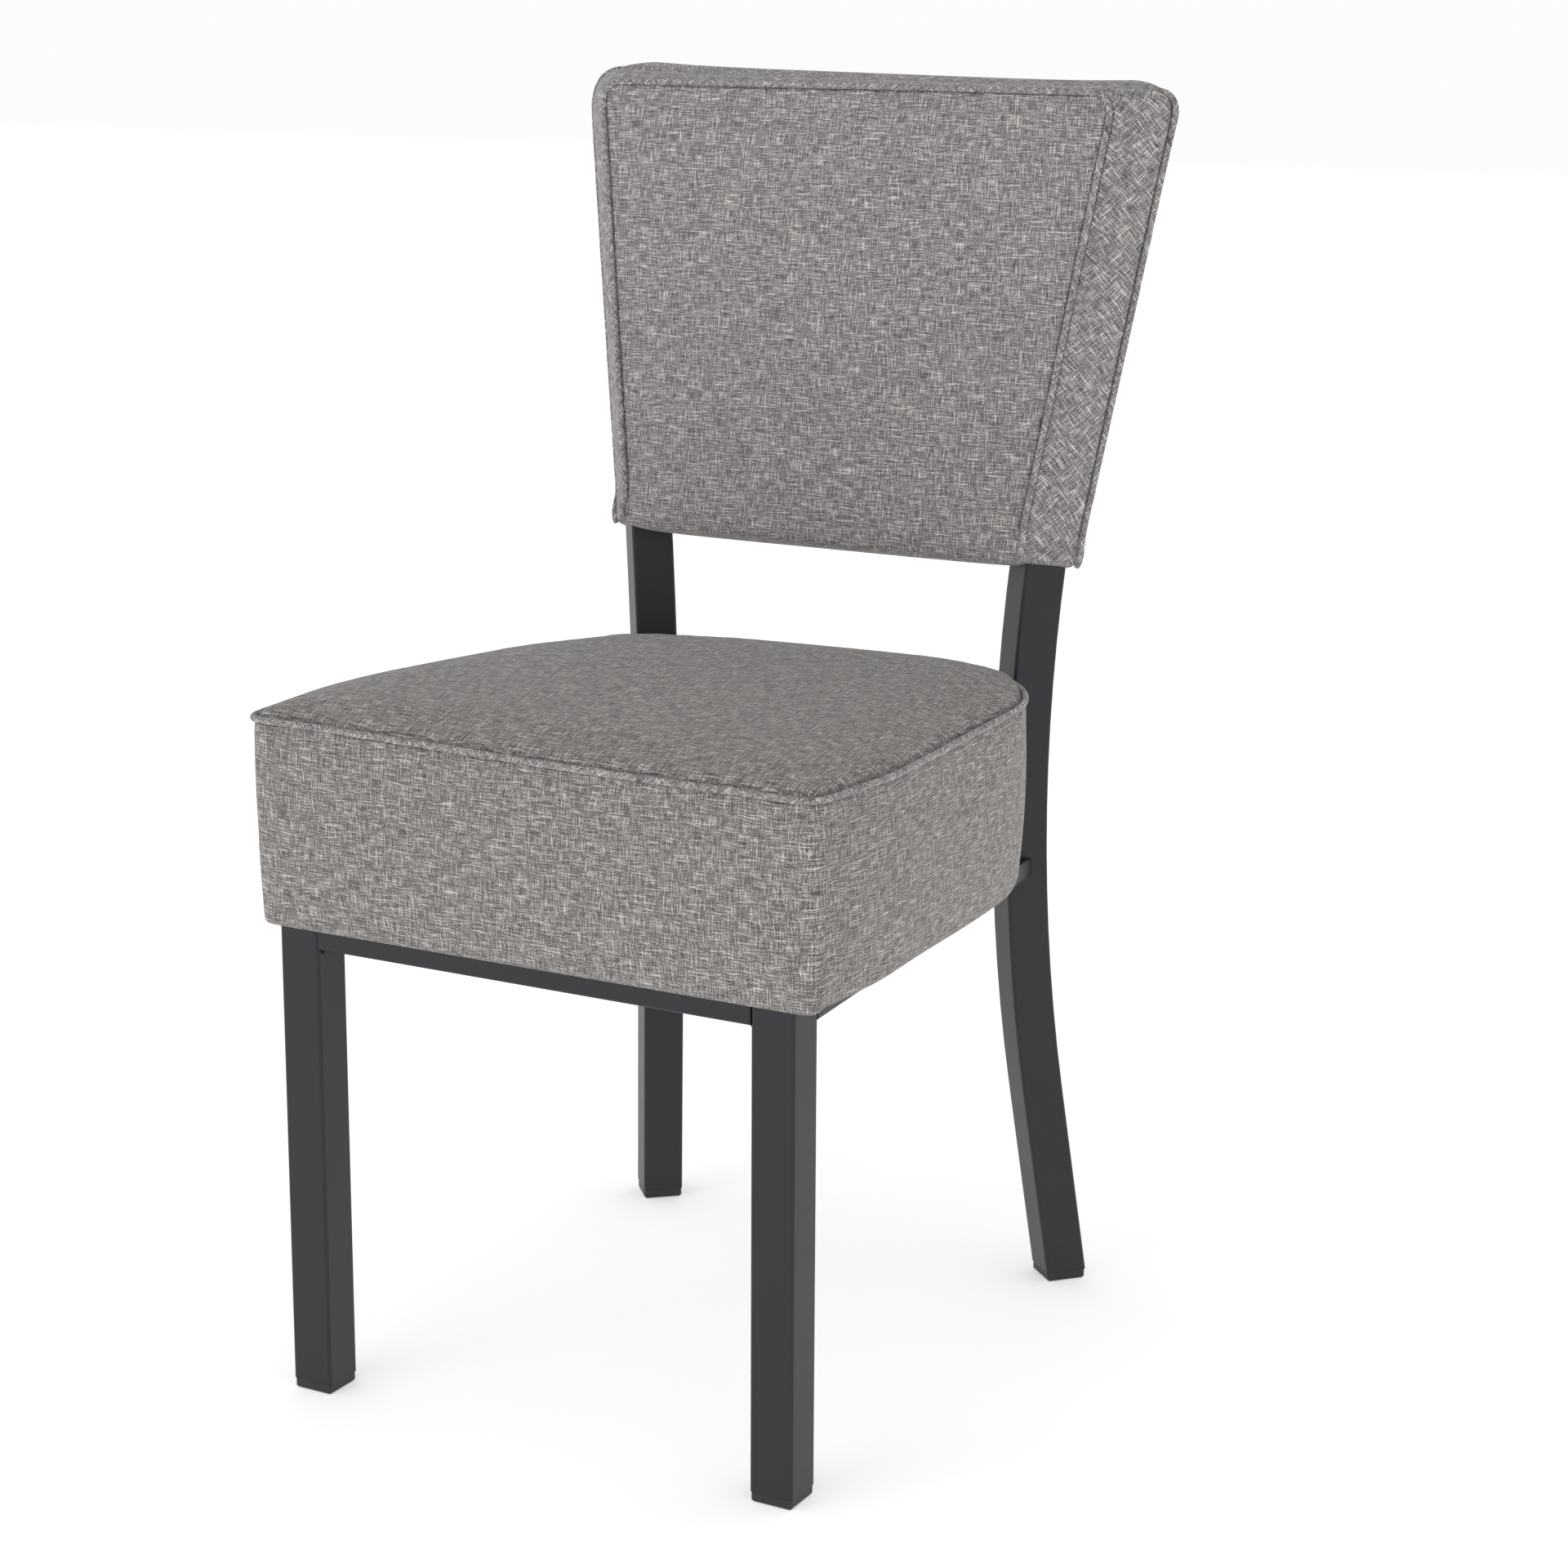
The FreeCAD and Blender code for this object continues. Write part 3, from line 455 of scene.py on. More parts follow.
@dataclass(frozen=True)
class ZincPlate:
    """Bright zinc plate on steel hardware, slightly stained."""

    colour: tuple[float, float, float] = linear(186, 188, 190)
    stained: tuple[float, float, float] = linear(140, 138, 128)

    def material(self, name: str) -> bpy.types.Material:
        """Makes the plating's material.

        Args:
            name: the material's name.

        Returns:
            The material.
        """
        sh = Shader(name)
        place = sh.object_place()
        stain = sh.noise(place, 180.0, 4.0)
        brushed = sh.noise(sh.place(place, "MULTIPLY", (900.0, 900.0, 3000.0)), 1.0, 2.0)
        colour = sh.mix(sh.ramp(stain, 0.45, 0.75, 0.0, 0.6), self.colour, self.stained)
        return sh.finish({"Base Color": colour, "Metallic": 1.0, "Roughness": 0.3 + stain * 0.25},
                         brushed, depth=0.00003, strength=0.5)


@dataclass(frozen=True)
class Finishes:
    """Every finish on the chair, made once."""

    straight: bpy.types.Material
    # The seat's cloth: the back's weave made darker, as painted shade for the dimmer light on the seat.
    shaded_seat_cloth: bpy.types.Material
    bias: bpy.types.Material
    coat: bpy.types.Material
    plastic: bpy.types.Material
    plywood: bpy.types.Material
    dust: bpy.types.Material
    zinc: bpy.types.Material

    @classmethod
    def make(cls) -> "Finishes":
        """Makes the materials."""
        # Same weave as the back in darker yarn colours: painted shade for the dimmer light on the seat.
        shaded_weave = HeatheredWeave(dark=linear(65, 62, 63), middle=linear(122, 118, 116),
                              light=linear(208, 204, 199))
        return cls(HeatheredWeave().material("weave_straight", Grain.STRAIGHT),
                   shaded_weave.material("weave_seat", Grain.STRAIGHT),
                   HeatheredWeave(slubs=1.5).material("weave_bias", Grain.BIAS),
                   PowderCoat().material("powder_coat"), MouldedPlastic().material("moulded_plastic"),
                   Plywood().material("birch_plywood"), DustCloth().material("dust_cloth"),
                   ZincPlate().material("zinc_plate"))


# ------------------------------------------------------------------ mesh tools


def smoothstep(value: np.ndarray | float, low: float, high: float) -> np.ndarray:
    """Rises smoothly from 0 at low to 1 at high."""
    t = np.clip((np.asarray(value, float) - low) / (high - low), 0, 1)
    return t * t * (3 - 2 * t)


def closed_length(points: np.ndarray) -> np.ndarray:
    """Length along a closed loop at each point, and at its first point again."""
    steps = np.linalg.norm(np.roll(points, -1, 0) - points, axis=1)
    return np.concatenate([[0.0], np.cumsum(steps)])


def rounded_outline(corners: list[tuple[float, float]], radii: list[float],
                    step: float = 0.0005) -> np.ndarray:
    """A closed outline with straight sides joined by arcs, as close points.

    Args:
        corners: its corners, anticlockwise.
        radii: the radius at each.
        step: distance between points.

    Returns:
        The points, from the middle of the first corner's arc.
    """
    points, first = [], 0
    for i, radius in enumerate(radii):
        a, b, c = (np.array(corners[(i + k) % len(corners)], float) for k in (-1, 0, 1))
        u, v = (b - a) / np.linalg.norm(b - a), (c - b) / np.linalg.norm(c - b)
        turn = math.acos(np.clip(u @ v, -1, 1))
        begin = b - u * radius * math.tan(turn / 2)
        centre = begin + np.array([-u[1], u[0]]) * radius
        start = math.atan2((begin - centre)[1], (begin - centre)[0])
        parts = max(3, int(radius * turn / step))
        first = first or parts
        for k in range(parts + 1):
            angle = start + turn * k / parts
            points.append(centre + radius * np.array([math.cos(angle), math.sin(angle)]))
    return np.roll(np.array(points), -(first // 2), 0)


def nearest(loop: np.ndarray, far: np.ndarray, place: tuple[float, float]) -> float:
    """Length along a loop at its point nearest to a place."""
    return float(far[np.argmin(np.hypot(loop[:, 0] - place[0], loop[:, 1] - place[1]))])


def at_lengths(loop: np.ndarray, far: np.ndarray, where: np.ndarray) -> np.ndarray:
    """Points of a closed loop at given lengths along it."""
    return np.stack([np.interp(where, far, loop[:, k]) for k in (0, 1)], 1)


def between(marks: list[float], shares: tuple[np.ndarray, ...]) -> np.ndarray:
    """Lengths that divide each stretch between two marks by its own shares."""
    stretches = zip(marks, marks[1:], shares)
    return np.concatenate([start + (end - start) * share[:-1] for start, end, share in stretches])


def outward(tangent: np.ndarray, across: np.ndarray, out: np.ndarray) -> np.ndarray:
    """Unit normals of a strip, turned to face out.

    Args:
        tangent: the way along the strip at each point.
        across: the way across it.
        out: roughly outward.

    Returns:
        The normals.
    """
    normal = np.cross(tangent, across)
    normal /= np.linalg.norm(normal, axis=1, keepdims=True)
    return normal * np.sign(np.einsum("ij,ij->i", normal, out))[:, None]


def pillow(s: np.ndarray, t: np.ndarray) -> np.ndarray:
    """The swell of a filled panel: 1 in the middle and 0 at its edges."""
    return (1 - np.abs(2 * s - 1) ** 2.4) * (1 - np.abs(2 * t - 1) ** 2.4)


def spaced(length: float, close: tuple[float, ...], step: float) -> np.ndarray:
    """Shares of a length, close together at both ends and even between.

    Args:
        length: the length to divide.
        close: distances from each end.
        step: about how far apart the rest are.

    Returns:
        The shares, from 0 to 1.
    """
    inner = length - 2 * close[-1]
    count = max(2, round(inner / step))
    middle = [close[-1] + inner * k / count for k in range(count + 1)]
    ends = [length - c for c in reversed(close[:-1])]
    return np.array([*close[:-1], *middle, *ends]) / length


def wander(count: int, seed: int, low: int, high: int) -> np.ndarray:
    """A smooth random wave round a closed loop, of about unit height.

    Args:
        count: points round the loop.
        seed: seed of the draws.
        low: fewest waves round it.
        high: most waves round it.

    Returns:
        The height at each point.
    """
    draw = np.random.default_rng(seed)
    angle = np.arange(count) * TWO_PI / count
    waves = range(low, high)
    total = sum(draw.normal() * np.sin(k * angle + draw.uniform(0, TWO_PI)) for k in waves)
    return total / math.sqrt(len(waves))


@dataclass
class SewnShell:
    """A closed cover made of two panels and the band of rings between them.

    Each ring is a closed loop of the same number of points, and a panel fills the loop
    at each end. The loop has four sides: two of across points and two of along points.
    """

    rings: np.ndarray
    across: np.ndarray
    along: np.ndarray
    seams: tuple[int, ...] = (0,)
    # shades (first panel, band, last panel) and sunk scale the painted seam shade on the cloth.
    shades: tuple[float, float, float] = (0.3, 1.0, 0.3)
    sunk: np.ndarray | None = None
    faces: list[list[int]] = field(default_factory=list)
    laid: list[list[tuple[float, float, float]]] = field(default_factory=list)
    zones: list[int] = field(default_factory=list)

    def sides(self, ring: np.ndarray) -> tuple[np.ndarray, ...]:
        """The near, right, far and left sides of a ring."""
        nu, nv = len(self.across) - 1, len(self.along) - 1
        return (ring[:nu + 1], ring[nu:nu + nv + 1], ring[nu + nv:2 * nu + nv + 1][::-1],
                ring[-np.arange(nv + 1)])

    def fill(self, ring: np.ndarray, lift: Lift) -> np.ndarray:
        """Points of a panel that fills a ring.

        Args:
            ring: the ring's points.
            lift: takes the two shares across the panel, and returns what to add.

        Returns:
            The panel's points by column and row.
        """
        near, right, far, left = self.sides(ring)
        s, t = self.across[:, None, None], self.along[None, :, None]
        flat = (1 - t) * near[:, None] + t * far[:, None] + (1 - s) * left[None] + s * right[None]
        flat = flat - ((1 - s) * (1 - t) * near[0] + s * (1 - t) * near[-1]
                       + (1 - s) * t * far[0] + s * t * far[-1])
        return flat + lift(s, t)

    def _number(self, loop: np.ndarray, start: int) -> np.ndarray:
        """Vertex numbers of a panel.

        Args:
            loop: numbers of the ring that it fills.
            start: the number of its first point inside.

        Returns:
            The numbers by column and row.
        """
        nu, nv = len(self.across) - 1, len(self.along) - 1
        index = np.zeros((nu + 1, nv + 1), int)
        index[:, 0], index[nu, :], index[:, nv], index[0, :] = self.sides(loop)
        index[1:-1, 1:-1] = start + np.arange((nu - 1) * (nv - 1)).reshape(nu - 1, nv - 1)
        return index

    def _lay_band(self) -> None:
        """Adds the band's faces, with its cloth laid round and down it."""
        deep, count = self.rings.shape[:2]
        arc = np.mean([closed_length(ring) for ring in self.rings], 0)
        gaps = np.linalg.norm(np.diff(self.rings, axis=0), axis=2).mean(1)
        down = np.concatenate([[0.0], np.cumsum(gaps)])
        near = np.array([min(abs(down[k] - down[s]) for s in self.seams) for k in range(deep)])
        for k in range(deep - 1):
            for i in range(count):
                corners = [(k, i), (k, i + 1), (k + 1, i + 1), (k + 1, i)]
                self.faces.append([a * count + b % count for a, b in corners])
                self.laid.append([(arc[b], down[a], near[a]) for a, b in corners])
                self.zones.append(1)

    def _lay_panel(self, end: int, panel: np.ndarray, index: np.ndarray, plan: Plan) -> None:
        """Adds a panel's faces, with its cloth laid flat.

        Args:
            end: 0 for the first panel and 1 for the last.
            panel: its points.
            index: their vertex numbers.
            plan: which two coordinates the cloth lies along.
        """
        width = np.linalg.norm(panel[-1] - panel[0], axis=1).mean()
        height = np.linalg.norm(panel[:, -1] - panel[:, 0], axis=1).mean()
        edge = np.minimum(np.minimum(self.across, 1 - self.across)[:, None] * width,
                          np.minimum(self.along, 1 - self.along)[None, :] * height)
        if (len(self.rings) - 1) * end not in self.seams:
            edge = edge + NO_SEAM
        for a in range(len(self.across) - 1):
            for b in range(len(self.along) - 1):
                cell = [(a, b), (a, b + 1), (a + 1, b + 1), (a + 1, b)][::-1 if end else 1]
                self.faces.append([int(index[c]) for c in cell])
                self.laid.append([(panel[c][plan[0]], panel[c][plan[1]], edge[c]) for c in cell])
                self.zones.append(2 * end)

    def _strengths(self, panels: list[np.ndarray], total: int) -> list[float]:
        """How strongly the seams shade each face corner.

        Args:
            panels: vertex numbers of both panels.
            total: how many points the shell has.

        Returns:
            The strengths, in the faces' order.
        """
        deep, count = self.rings.shape[:2]
        sunk = np.ones(count) if self.sunk is None else self.sunk
        depth = np.zeros(total)
        depth[:count * deep] = np.tile(sunk, deep)
        for index in panels:
            on_left = np.broadcast_to(self.across[:, None] < 0.5, index.shape)
            low = np.minimum(self.along, 1 - self.along)[None] * SIDE_OVER_END
            side = np.minimum(self.across, 1 - self.across)[:, None]
            beside = np.where(on_left, depth[index[0]][None], depth[index[-1]][None])
            beyond = np.where(self.along[None] < 0.5, depth[index[:, 0]][:, None],
                              depth[index[:, -1]][:, None])
            depth[index] = np.where(side < low, beside, beyond)
        return [depth[v] * self.shades[zone] for face, zone in zip(self.faces, self.zones) for v in face]

    def mesh(self, name: str, lifts: tuple[Lift, Lift],
             plans: tuple[Plan, Plan]) -> tuple[bpy.types.Mesh, dict[str, np.ndarray]]:
        """Joins the panels and the band in one closed mesh.

        Args:
            name: the mesh's name.
            lifts: what to add to each panel's points.
            plans: which two coordinates the cloth of each panel lies along.

        Returns:
            The mesh, and the vertex numbers of each ring and of each panel.
        """
        deep, count = self.rings.shape[:2]
        points = [self.rings.reshape(-1, 3)]
        total = count * deep
        numbers = {"rings": np.arange(total).reshape(deep, count)}
        self._lay_band()
        for end, (lift, plan) in enumerate(zip(lifts, plans)):
            panel = self.fill(self.rings[-end], lift)
            index = self._number(numbers["rings"][-end], total)
            points.append(panel[1:-1, 1:-1].reshape(-1, 3))
            total += len(points[-1])
            numbers[f"panel_{end}"] = index
            self._lay_panel(end, panel, index, plan)
        points = np.concatenate(points)
        first = np.array([face[:3] for face in self.faces])
        a, b, c = (points[first[:, k]] for k in range(3))
        if np.einsum("ij,ij->i", a - points.mean(0), np.cross(b - a, c - a)).sum() < 0:
            self.faces = [face[::-1] for face in self.faces]
            self.laid = [face[::-1] for face in self.laid]
        mesh = sewn_mesh(name, points, self.faces, self.laid)
        strengths = self._strengths([numbers["panel_0"], numbers["panel_1"]], total)
        # Strength of the painted seam shade at each face corner.
        shade = mesh.attributes.new("seam_shade", "FLOAT", "CORNER")
        shade.data.foreach_set("value", np.array(strengths, np.float32))
        return mesh, numbers


def sewn_mesh(name: str, points: np.ndarray, faces: list[list[int]], laid: list[list]) -> bpy.types.Mesh:
    """A smooth mesh that keeps how its cloth is laid.

    Args:
        name: the mesh's name.
        points: its points.
        faces: the points of each face.
        laid: at each face's corners, the place in the cloth and the distance to a seam.

    Returns:
        The mesh.
    """
    mesh = bpy.data.meshes.new(name)
    mesh.from_pydata(points.tolist(), [], faces)
    mesh.update()
    weave = mesh.attributes.new("weave", "FLOAT_VECTOR", "CORNER")
    weave.data.foreach_set("vector", np.array([c for face in laid for c in face], np.float32).ravel())
    mesh.polygons.foreach_set("use_smooth", [True] * len(faces))
    return mesh


def link(name: str, mesh: bpy.types.Mesh) -> bpy.types.Object:
    """Puts a mesh in the scene as a piece of its own."""
    piece = bpy.data.objects.new(name, mesh)
    bpy.context.scene.collection.objects.link(piece)
    return piece


def places(mesh: bpy.types.Mesh) -> np.ndarray:
    """The mesh's points."""
    found = np.empty(len(mesh.vertices) * 3, np.float32)
    mesh.vertices.foreach_get("co", found)
    return found.reshape(-1, 3).astype(float)


def put(mesh: bpy.types.Mesh, points: np.ndarray) -> None:
    """Moves the mesh's points."""
    mesh.vertices.foreach_set("co", points.astype(np.float32).ravel())
    mesh.update()


def stuff(piece: bpy.types.Object, sewn: np.ndarray, reach: float,
          pressure: float = 4.0, frames: int = 20) -> None:
    """Swells a cover by cloth simulation, held where it is sewn, and keeps the result.

    Args:
        piece: the cover.
        sewn: how firmly each point is held, from 0 to 1.
        reach: the furthest that any point may move.
        pressure: how hard the filling pushes.
        frames: steps of the simulation.
    """
    before = places(piece.data)
    group = piece.vertex_groups.new(name="sewn")
    held_by = np.round(sewn, 2)
    for value in np.unique(held_by[held_by > 0]):
        group.add(np.flatnonzero(held_by == value).tolist(), float(value), "REPLACE")
    cloth = piece.modifiers.new("Cloth", "CLOTH")
    settings = cloth.settings
    settings.quality = 6
    settings.mass = 0.35
    settings.tension_stiffness = settings.compression_stiffness = 18
    settings.shear_stiffness = 6
    settings.bending_stiffness = 0.6
    settings.use_pressure = True
    settings.uniform_pressure_force = pressure
    settings.effector_weights.gravity = 0
    settings.vertex_group_mass = "sewn"
    cloth.point_cache.frame_start, cloth.point_cache.frame_end = 1, frames
    scene = bpy.context.scene
    for frame_number in range(1, frames + 1):
        scene.frame_set(frame_number)
    swollen = piece.evaluated_get(bpy.context.evaluated_depsgraph_get()).to_mesh()
    moved = places(swollen) - before
    piece.evaluated_get(bpy.context.evaluated_depsgraph_get()).to_mesh_clear()
    piece.modifiers.remove(cloth)
    piece.vertex_groups.clear()
    scene.frame_set(1)
    out = np.empty(len(before) * 3, np.float32)
    piece.data.vertices.foreach_get("normal", out)
    out = out.reshape(-1, 3)
    through = np.einsum("ij,ij->i", moved, out)[:, None]
    moved = moved - out * through * (1 - FOAM_GIVE) * (through < 0)
    far = np.linalg.norm(moved, axis=1, keepdims=True)
    held = reach * np.tanh(far / reach) / np.maximum(far, 1e-9)
    put(piece.data, before + moved * held)
    LOG.info("%s swelled by up to %.1f mm", piece.name, 1000 * (far * held).max())


def soften(piece: bpy.types.Object) -> None:
    """Adds the subdivision that rounds a cover."""
    rounding = piece.modifiers.new("Rounding", "SUBSURF")
    rounding.levels = rounding.render_levels = 1


@dataclass(frozen=True)
class Welt:
    """Self-fabric piping: a cord in a bias strip."""

    radius: float = 0.0025
    sides: int = 12
    seed: int = 3
    uneven: float = 0.035

    def piece(self, name: str, path: np.ndarray, closed: bool,
              cloth: bpy.types.Material) -> bpy.types.Object:
        """Sweeps the piping along a path.

        Args:
            name: the piece's name.
            path: points of its centre line.
            closed: whether its ends meet.
            cloth: the strip's material.

        Returns:
            The piece.
        """
        count = len(path)
        ahead = np.roll(path, -1, 0) - np.roll(path, 1, 0)
        if not closed:
            ahead[0], ahead[-1] = path[1] - path[0], path[-1] - path[-2]
        ahead /= np.linalg.norm(ahead, axis=1, keepdims=True)
        side = np.cross(ahead[0], [0.0, 0.31, 1.0])
        sides = []
        for way in ahead:
            side = side - way * (side @ way)
            side = side / np.linalg.norm(side)
            sides.append(side)
        sides = np.array(sides)
        ups = np.cross(ahead, sides)
        if closed:
            slip = math.atan2(sides[0] @ ups[-1], sides[0] @ sides[-1])
            turn = (slip * np.arange(count) / count)[:, None]
            cos, sin = np.cos(turn), np.sin(turn)
            sides, ups = sides * cos + ups * sin, ups * cos - sides * sin
        size = self.radius * (1 + self.uneven * wander(count, self.seed, 20, 60))
        angle = np.arange(self.sides) * TWO_PI / self.sides
        cos, sin = np.cos(angle)[None, :, None], np.sin(angle)[None, :, None]
        ring = sides[:, None] * cos + ups[:, None] * sin
        points = (path[:, None] + ring * size[:, None, None]).reshape(-1, 3)
        far = np.concatenate([[0.0], np.cumsum(np.linalg.norm(np.diff(path, axis=0), axis=1))])
        far = np.append(far, far[-1] + np.linalg.norm(path[0] - path[-1]))
        round_it = np.append(angle, TWO_PI) * self.radius
        faces, laid = [], []
        for i in range(count if closed else count - 1):
            for k in range(self.sides):
                corners = [(i, k), (i + 1, k), (i + 1, k + 1), (i, k + 1)]
                faces.append([a % count * self.sides + b % self.sides for a, b in corners])
                laid.append([(far[a], round_it[b], NO_SEAM) for a, b in corners])
        if not closed:
            for end, order in ((0, 1), (count - 1, -1)):
                faces.append([end * self.sides + k for k in range(self.sides)][::order])
                laid.append([(0.0, 0.0, NO_SEAM)] * self.sides)
        mesh = sewn_mesh(name, points, faces, laid)
        mesh.materials.append(cloth)
        piece = link(name, mesh)
        LOG.info("%s: %.2f m of piping", name, far[-1])
        return piece


# ------------------------------------------------------------------ the pieces


@dataclass
class SteelFrame:
    """The welded frame, its glides and the hardware under the seat, as the CAD has them."""

    coated: tuple[str, ...] = ("front_leg_left", "front_leg_right", "rear_post_left", "rear_post_right",
                               "side_rail_left", "side_rail_right", "front_rail", "rear_rail",
                               "seat_brackets", "weld_beads", "back_rail_lower", "back_rail_upper")
    moulded: tuple[str, ...] = ("glide_front_left", "glide_front_right", "glide_rear_left",
                                "glide_rear_right", "post_top_caps")
    plated: tuple[str, ...] = ("seat_screws", "seat_washers", "seat_t_nuts", "back_board_screws")
    boards: tuple[str, ...] = ("seat_board", "back_board")
    lined: tuple[str, ...] = ("seat_dust_cover",)

    def dress(self, finishes: Finishes) -> None:
        """Gives each carried-over part its finish.

        Args:
            finishes: the chair's finishes.
        """
        for names, finish in ((self.coated, finishes.coat), (self.moulded, finishes.plastic),
                              (self.plated, finishes.zinc), (self.boards, finishes.plywood),
                              (self.lined, finishes.dust)):
            for name in names:
                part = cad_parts[name]
                if not part.material_slots:
                    part.data.materials.append(finish)
                for slot in part.material_slots:
                    slot.material = finish
                LOG.info("%s dressed in %s", name, finish.name)


@dataclass
class SeatCushion:
    """The deep seat cushion: a crowned top panel, a welt, and a boxing band wrapped under."""

    half_front: float = 0.2210
    half_widest: float = 0.2290
    half_rear: float = 0.2040
    front: float = -0.0060
    widest: float = 0.0820
    rear: float = 0.4200
    front_radius: float = 0.016
    side_radius: float = 0.25
    rear_radius: float = 0.139
    rear_left_radius: float = 0.165
    corner_shift: float = 0.004
    probe: float = 0.0006
    seam_height: float = 0.4830
    bottom_height: float = 0.3452
    crown_edge: float = 0.0085
    crown_dome: float = 0.0030
    crown_turn: float = 0.005
    lean: float = 0.0030
    droop: float = 0.0030
    rear_sag: float = 0.0030
    lift_front_left: float = 0.0045
    drop_rear_left: float = 0.0040
    swell: float = 0.0018
    rear_swell: float = 0.0022
    groove: float = 0.0024
    groove_width: float = 0.0030
    pucker: float = 0.0005
    under: tuple[float, float, float] = (0.0035, 0.0025, 0.011)
    under_start: float = 0.034
    side_zone: tuple[float, float] = (0.02, 0.10)
    rear_zone: tuple[float, float] = (0.20, 0.40)
    step: float = 0.0068
    close: tuple[float, ...] = (0.0, 0.0016, 0.0042, 0.009)
    reach: float = 0.006

    def outline(self) -> tuple[np.ndarray, np.ndarray, np.ndarray, np.ndarray]:
        """The cushion's plan at the welt.

        Returns:
            Its points, the way out at each, and the shares across and along its sides.
        """
        corners = [(-self.half_front, self.front), (self.half_front, self.front),
                   (self.half_widest, self.widest), (self.half_rear, self.rear),
                   (-self.half_rear, self.rear), (-self.half_widest, self.widest)]
        radii = [self.front_radius, self.front_radius, self.side_radius, self.rear_radius,
                 self.rear_left_radius, self.side_radius]
        loop = rounded_outline(corners, radii)
        far = closed_length(loop)
        loop = np.vstack([loop, loop[:1]])
        front_cut = 0.3 * self.front_radius
        arc_cut = 1 - math.cos(math.pi / 4)
        right, left = self.rear_radius * arc_cut, self.rear_left_radius * arc_cut
        places_at = [(self.half_front - front_cut, self.front + front_cut),
                     (self.half_rear - right + self.corner_shift, self.rear - right),
                     (-self.half_rear + left - self.corner_shift, self.rear - left)]
        marks = [0.0, *(nearest(loop, far, place) for place in places_at), far[-1]]
        across = spaced(2 * self.half_front, self.close, self.step)
        along = spaced(self.rear - self.front, self.close, self.step)
        where = between(marks, (across, along, across, along))
        points = at_lengths(loop, far, where)
        way = (at_lengths(loop, far, (where + self.probe) % far[-1])
               - at_lengths(loop, far, (where - self.probe) % far[-1]))
        way /= np.linalg.norm(way, axis=1, keepdims=True)
        return points, np.stack([way[:, 1], -way[:, 0]], 1), across, along

    def wall(self, points: np.ndarray, out: np.ndarray) -> np.ndarray:
        """Rings of the boxing, from the seam to well under the bottom edge.

        Args:
            points: the plan at the welt.
            out: the way out at each point.

        Returns:
            The rings.
        """
        y = points[:, 1]
        at_front = 1 - smoothstep(y, 0.0, 0.012)
        on_side = smoothstep(y, *self.side_zone)
        to_rear = smoothstep(y, *self.rear_zone)
        under = self.under[0] + self.under[1] * on_side + self.under[2] * to_rear
        lean = self.lean + 0.001 * on_side - 0.001 * to_rear
        top = self.seam_at(points)
        sag = self.rear_sag * smoothstep(y, 0.12, 0.30)
        foot = self.bottom_height - self.droop * at_front - sag
        pucker = wander(len(points), 11, 30, 95) * (0.25 + 0.75 * smoothstep(y, 0.03, 0.3))
        drop = top - foot

        def out_of(depth: np.ndarray) -> np.ndarray:
            """How far the wall stands out at a depth below the seam."""
            share = np.clip(depth / drop, 0, 1)
            dip = self.groove * np.exp(-depth / self.groove_width)
            fold = self.pucker * pucker * np.exp(-(depth - 0.006) ** 2 / 0.00009) * (depth > 0)
            swell = self.swell + self.rear_swell * to_rear
            return swell * np.sin(np.pi * share) ** 0.8 - lean * share - dip + fold

        rings = []
        straight = drop - self.under_start
        for share in (0.0, 0.013, 0.032, 0.06, 0.09, *np.linspace(0.15, 1.0, 13)):
            depth = straight * share
            rings.append(self._ring(points, out, out_of(depth), top - depth))
        for k in range(1, 4):
            depth = straight + (drop - under - straight) * k / 4
            rings.append(self._ring(points, out, out_of(depth), top - depth))
        edge = out_of(drop - under)
        for k in range(7):
            angle = math.pi / 2 * k / 6
            shift = edge - under * (1 - math.cos(angle))
            rings.append(self._ring(points, out, shift, foot + under * (1 - math.sin(angle))))
        for more, rise in ((0.0012, 0.5), (0.004, 1.0), (0.010, 1.0), (0.018, 1.0)):
            height = foot + (self.bottom_height - foot) * rise
            rings.append(self._ring(points, out, edge - under - more, height))
        return np.array(rings)

    def seam_at(self, points: np.ndarray) -> np.ndarray:
        """Height of the seam round the plan: hand-sewn, so not quite level."""
        left = smoothstep(-points[:, 0], -0.10, 0.20)
        rear = smoothstep(points[:, 1], 0.10, 0.36)
        return self.seam_height + left * (self.lift_front_left * (1 - rear) - self.drop_rear_left * rear)

    def _ring(self, points: np.ndarray, out: np.ndarray, shift: np.ndarray, z: np.ndarray) -> np.ndarray:
        """One ring: the plan moved out by shift, at height z."""
        flat = points + out * np.broadcast_to(shift, (len(points),))[:, None]
        return np.column_stack([flat[:, 0], flat[:, 1] + FRONT, np.broadcast_to(z, (len(points),))])

    def crown(self, s: np.ndarray, t: np.ndarray) -> np.ndarray:
        """Rise of the top panel above the seam.

        Args:
            s: share across the panel.
            t: share along it.

        Returns:
            What to add to its points.
        """
        width, depth = 2 * self.half_front, self.rear - self.front
        side = np.minimum(s, 1 - s) * width
        end = np.minimum(t, 1 - t) * depth
        turn = self.crown_turn
        rise = self.crown_edge * (1 - np.exp(-side / turn)) * (1 - np.exp(-end / turn))
        rise = rise + self.crown_dome * pillow(s, t)
        return np.concatenate([np.zeros_like(rise), np.zeros_like(rise), rise], 2)

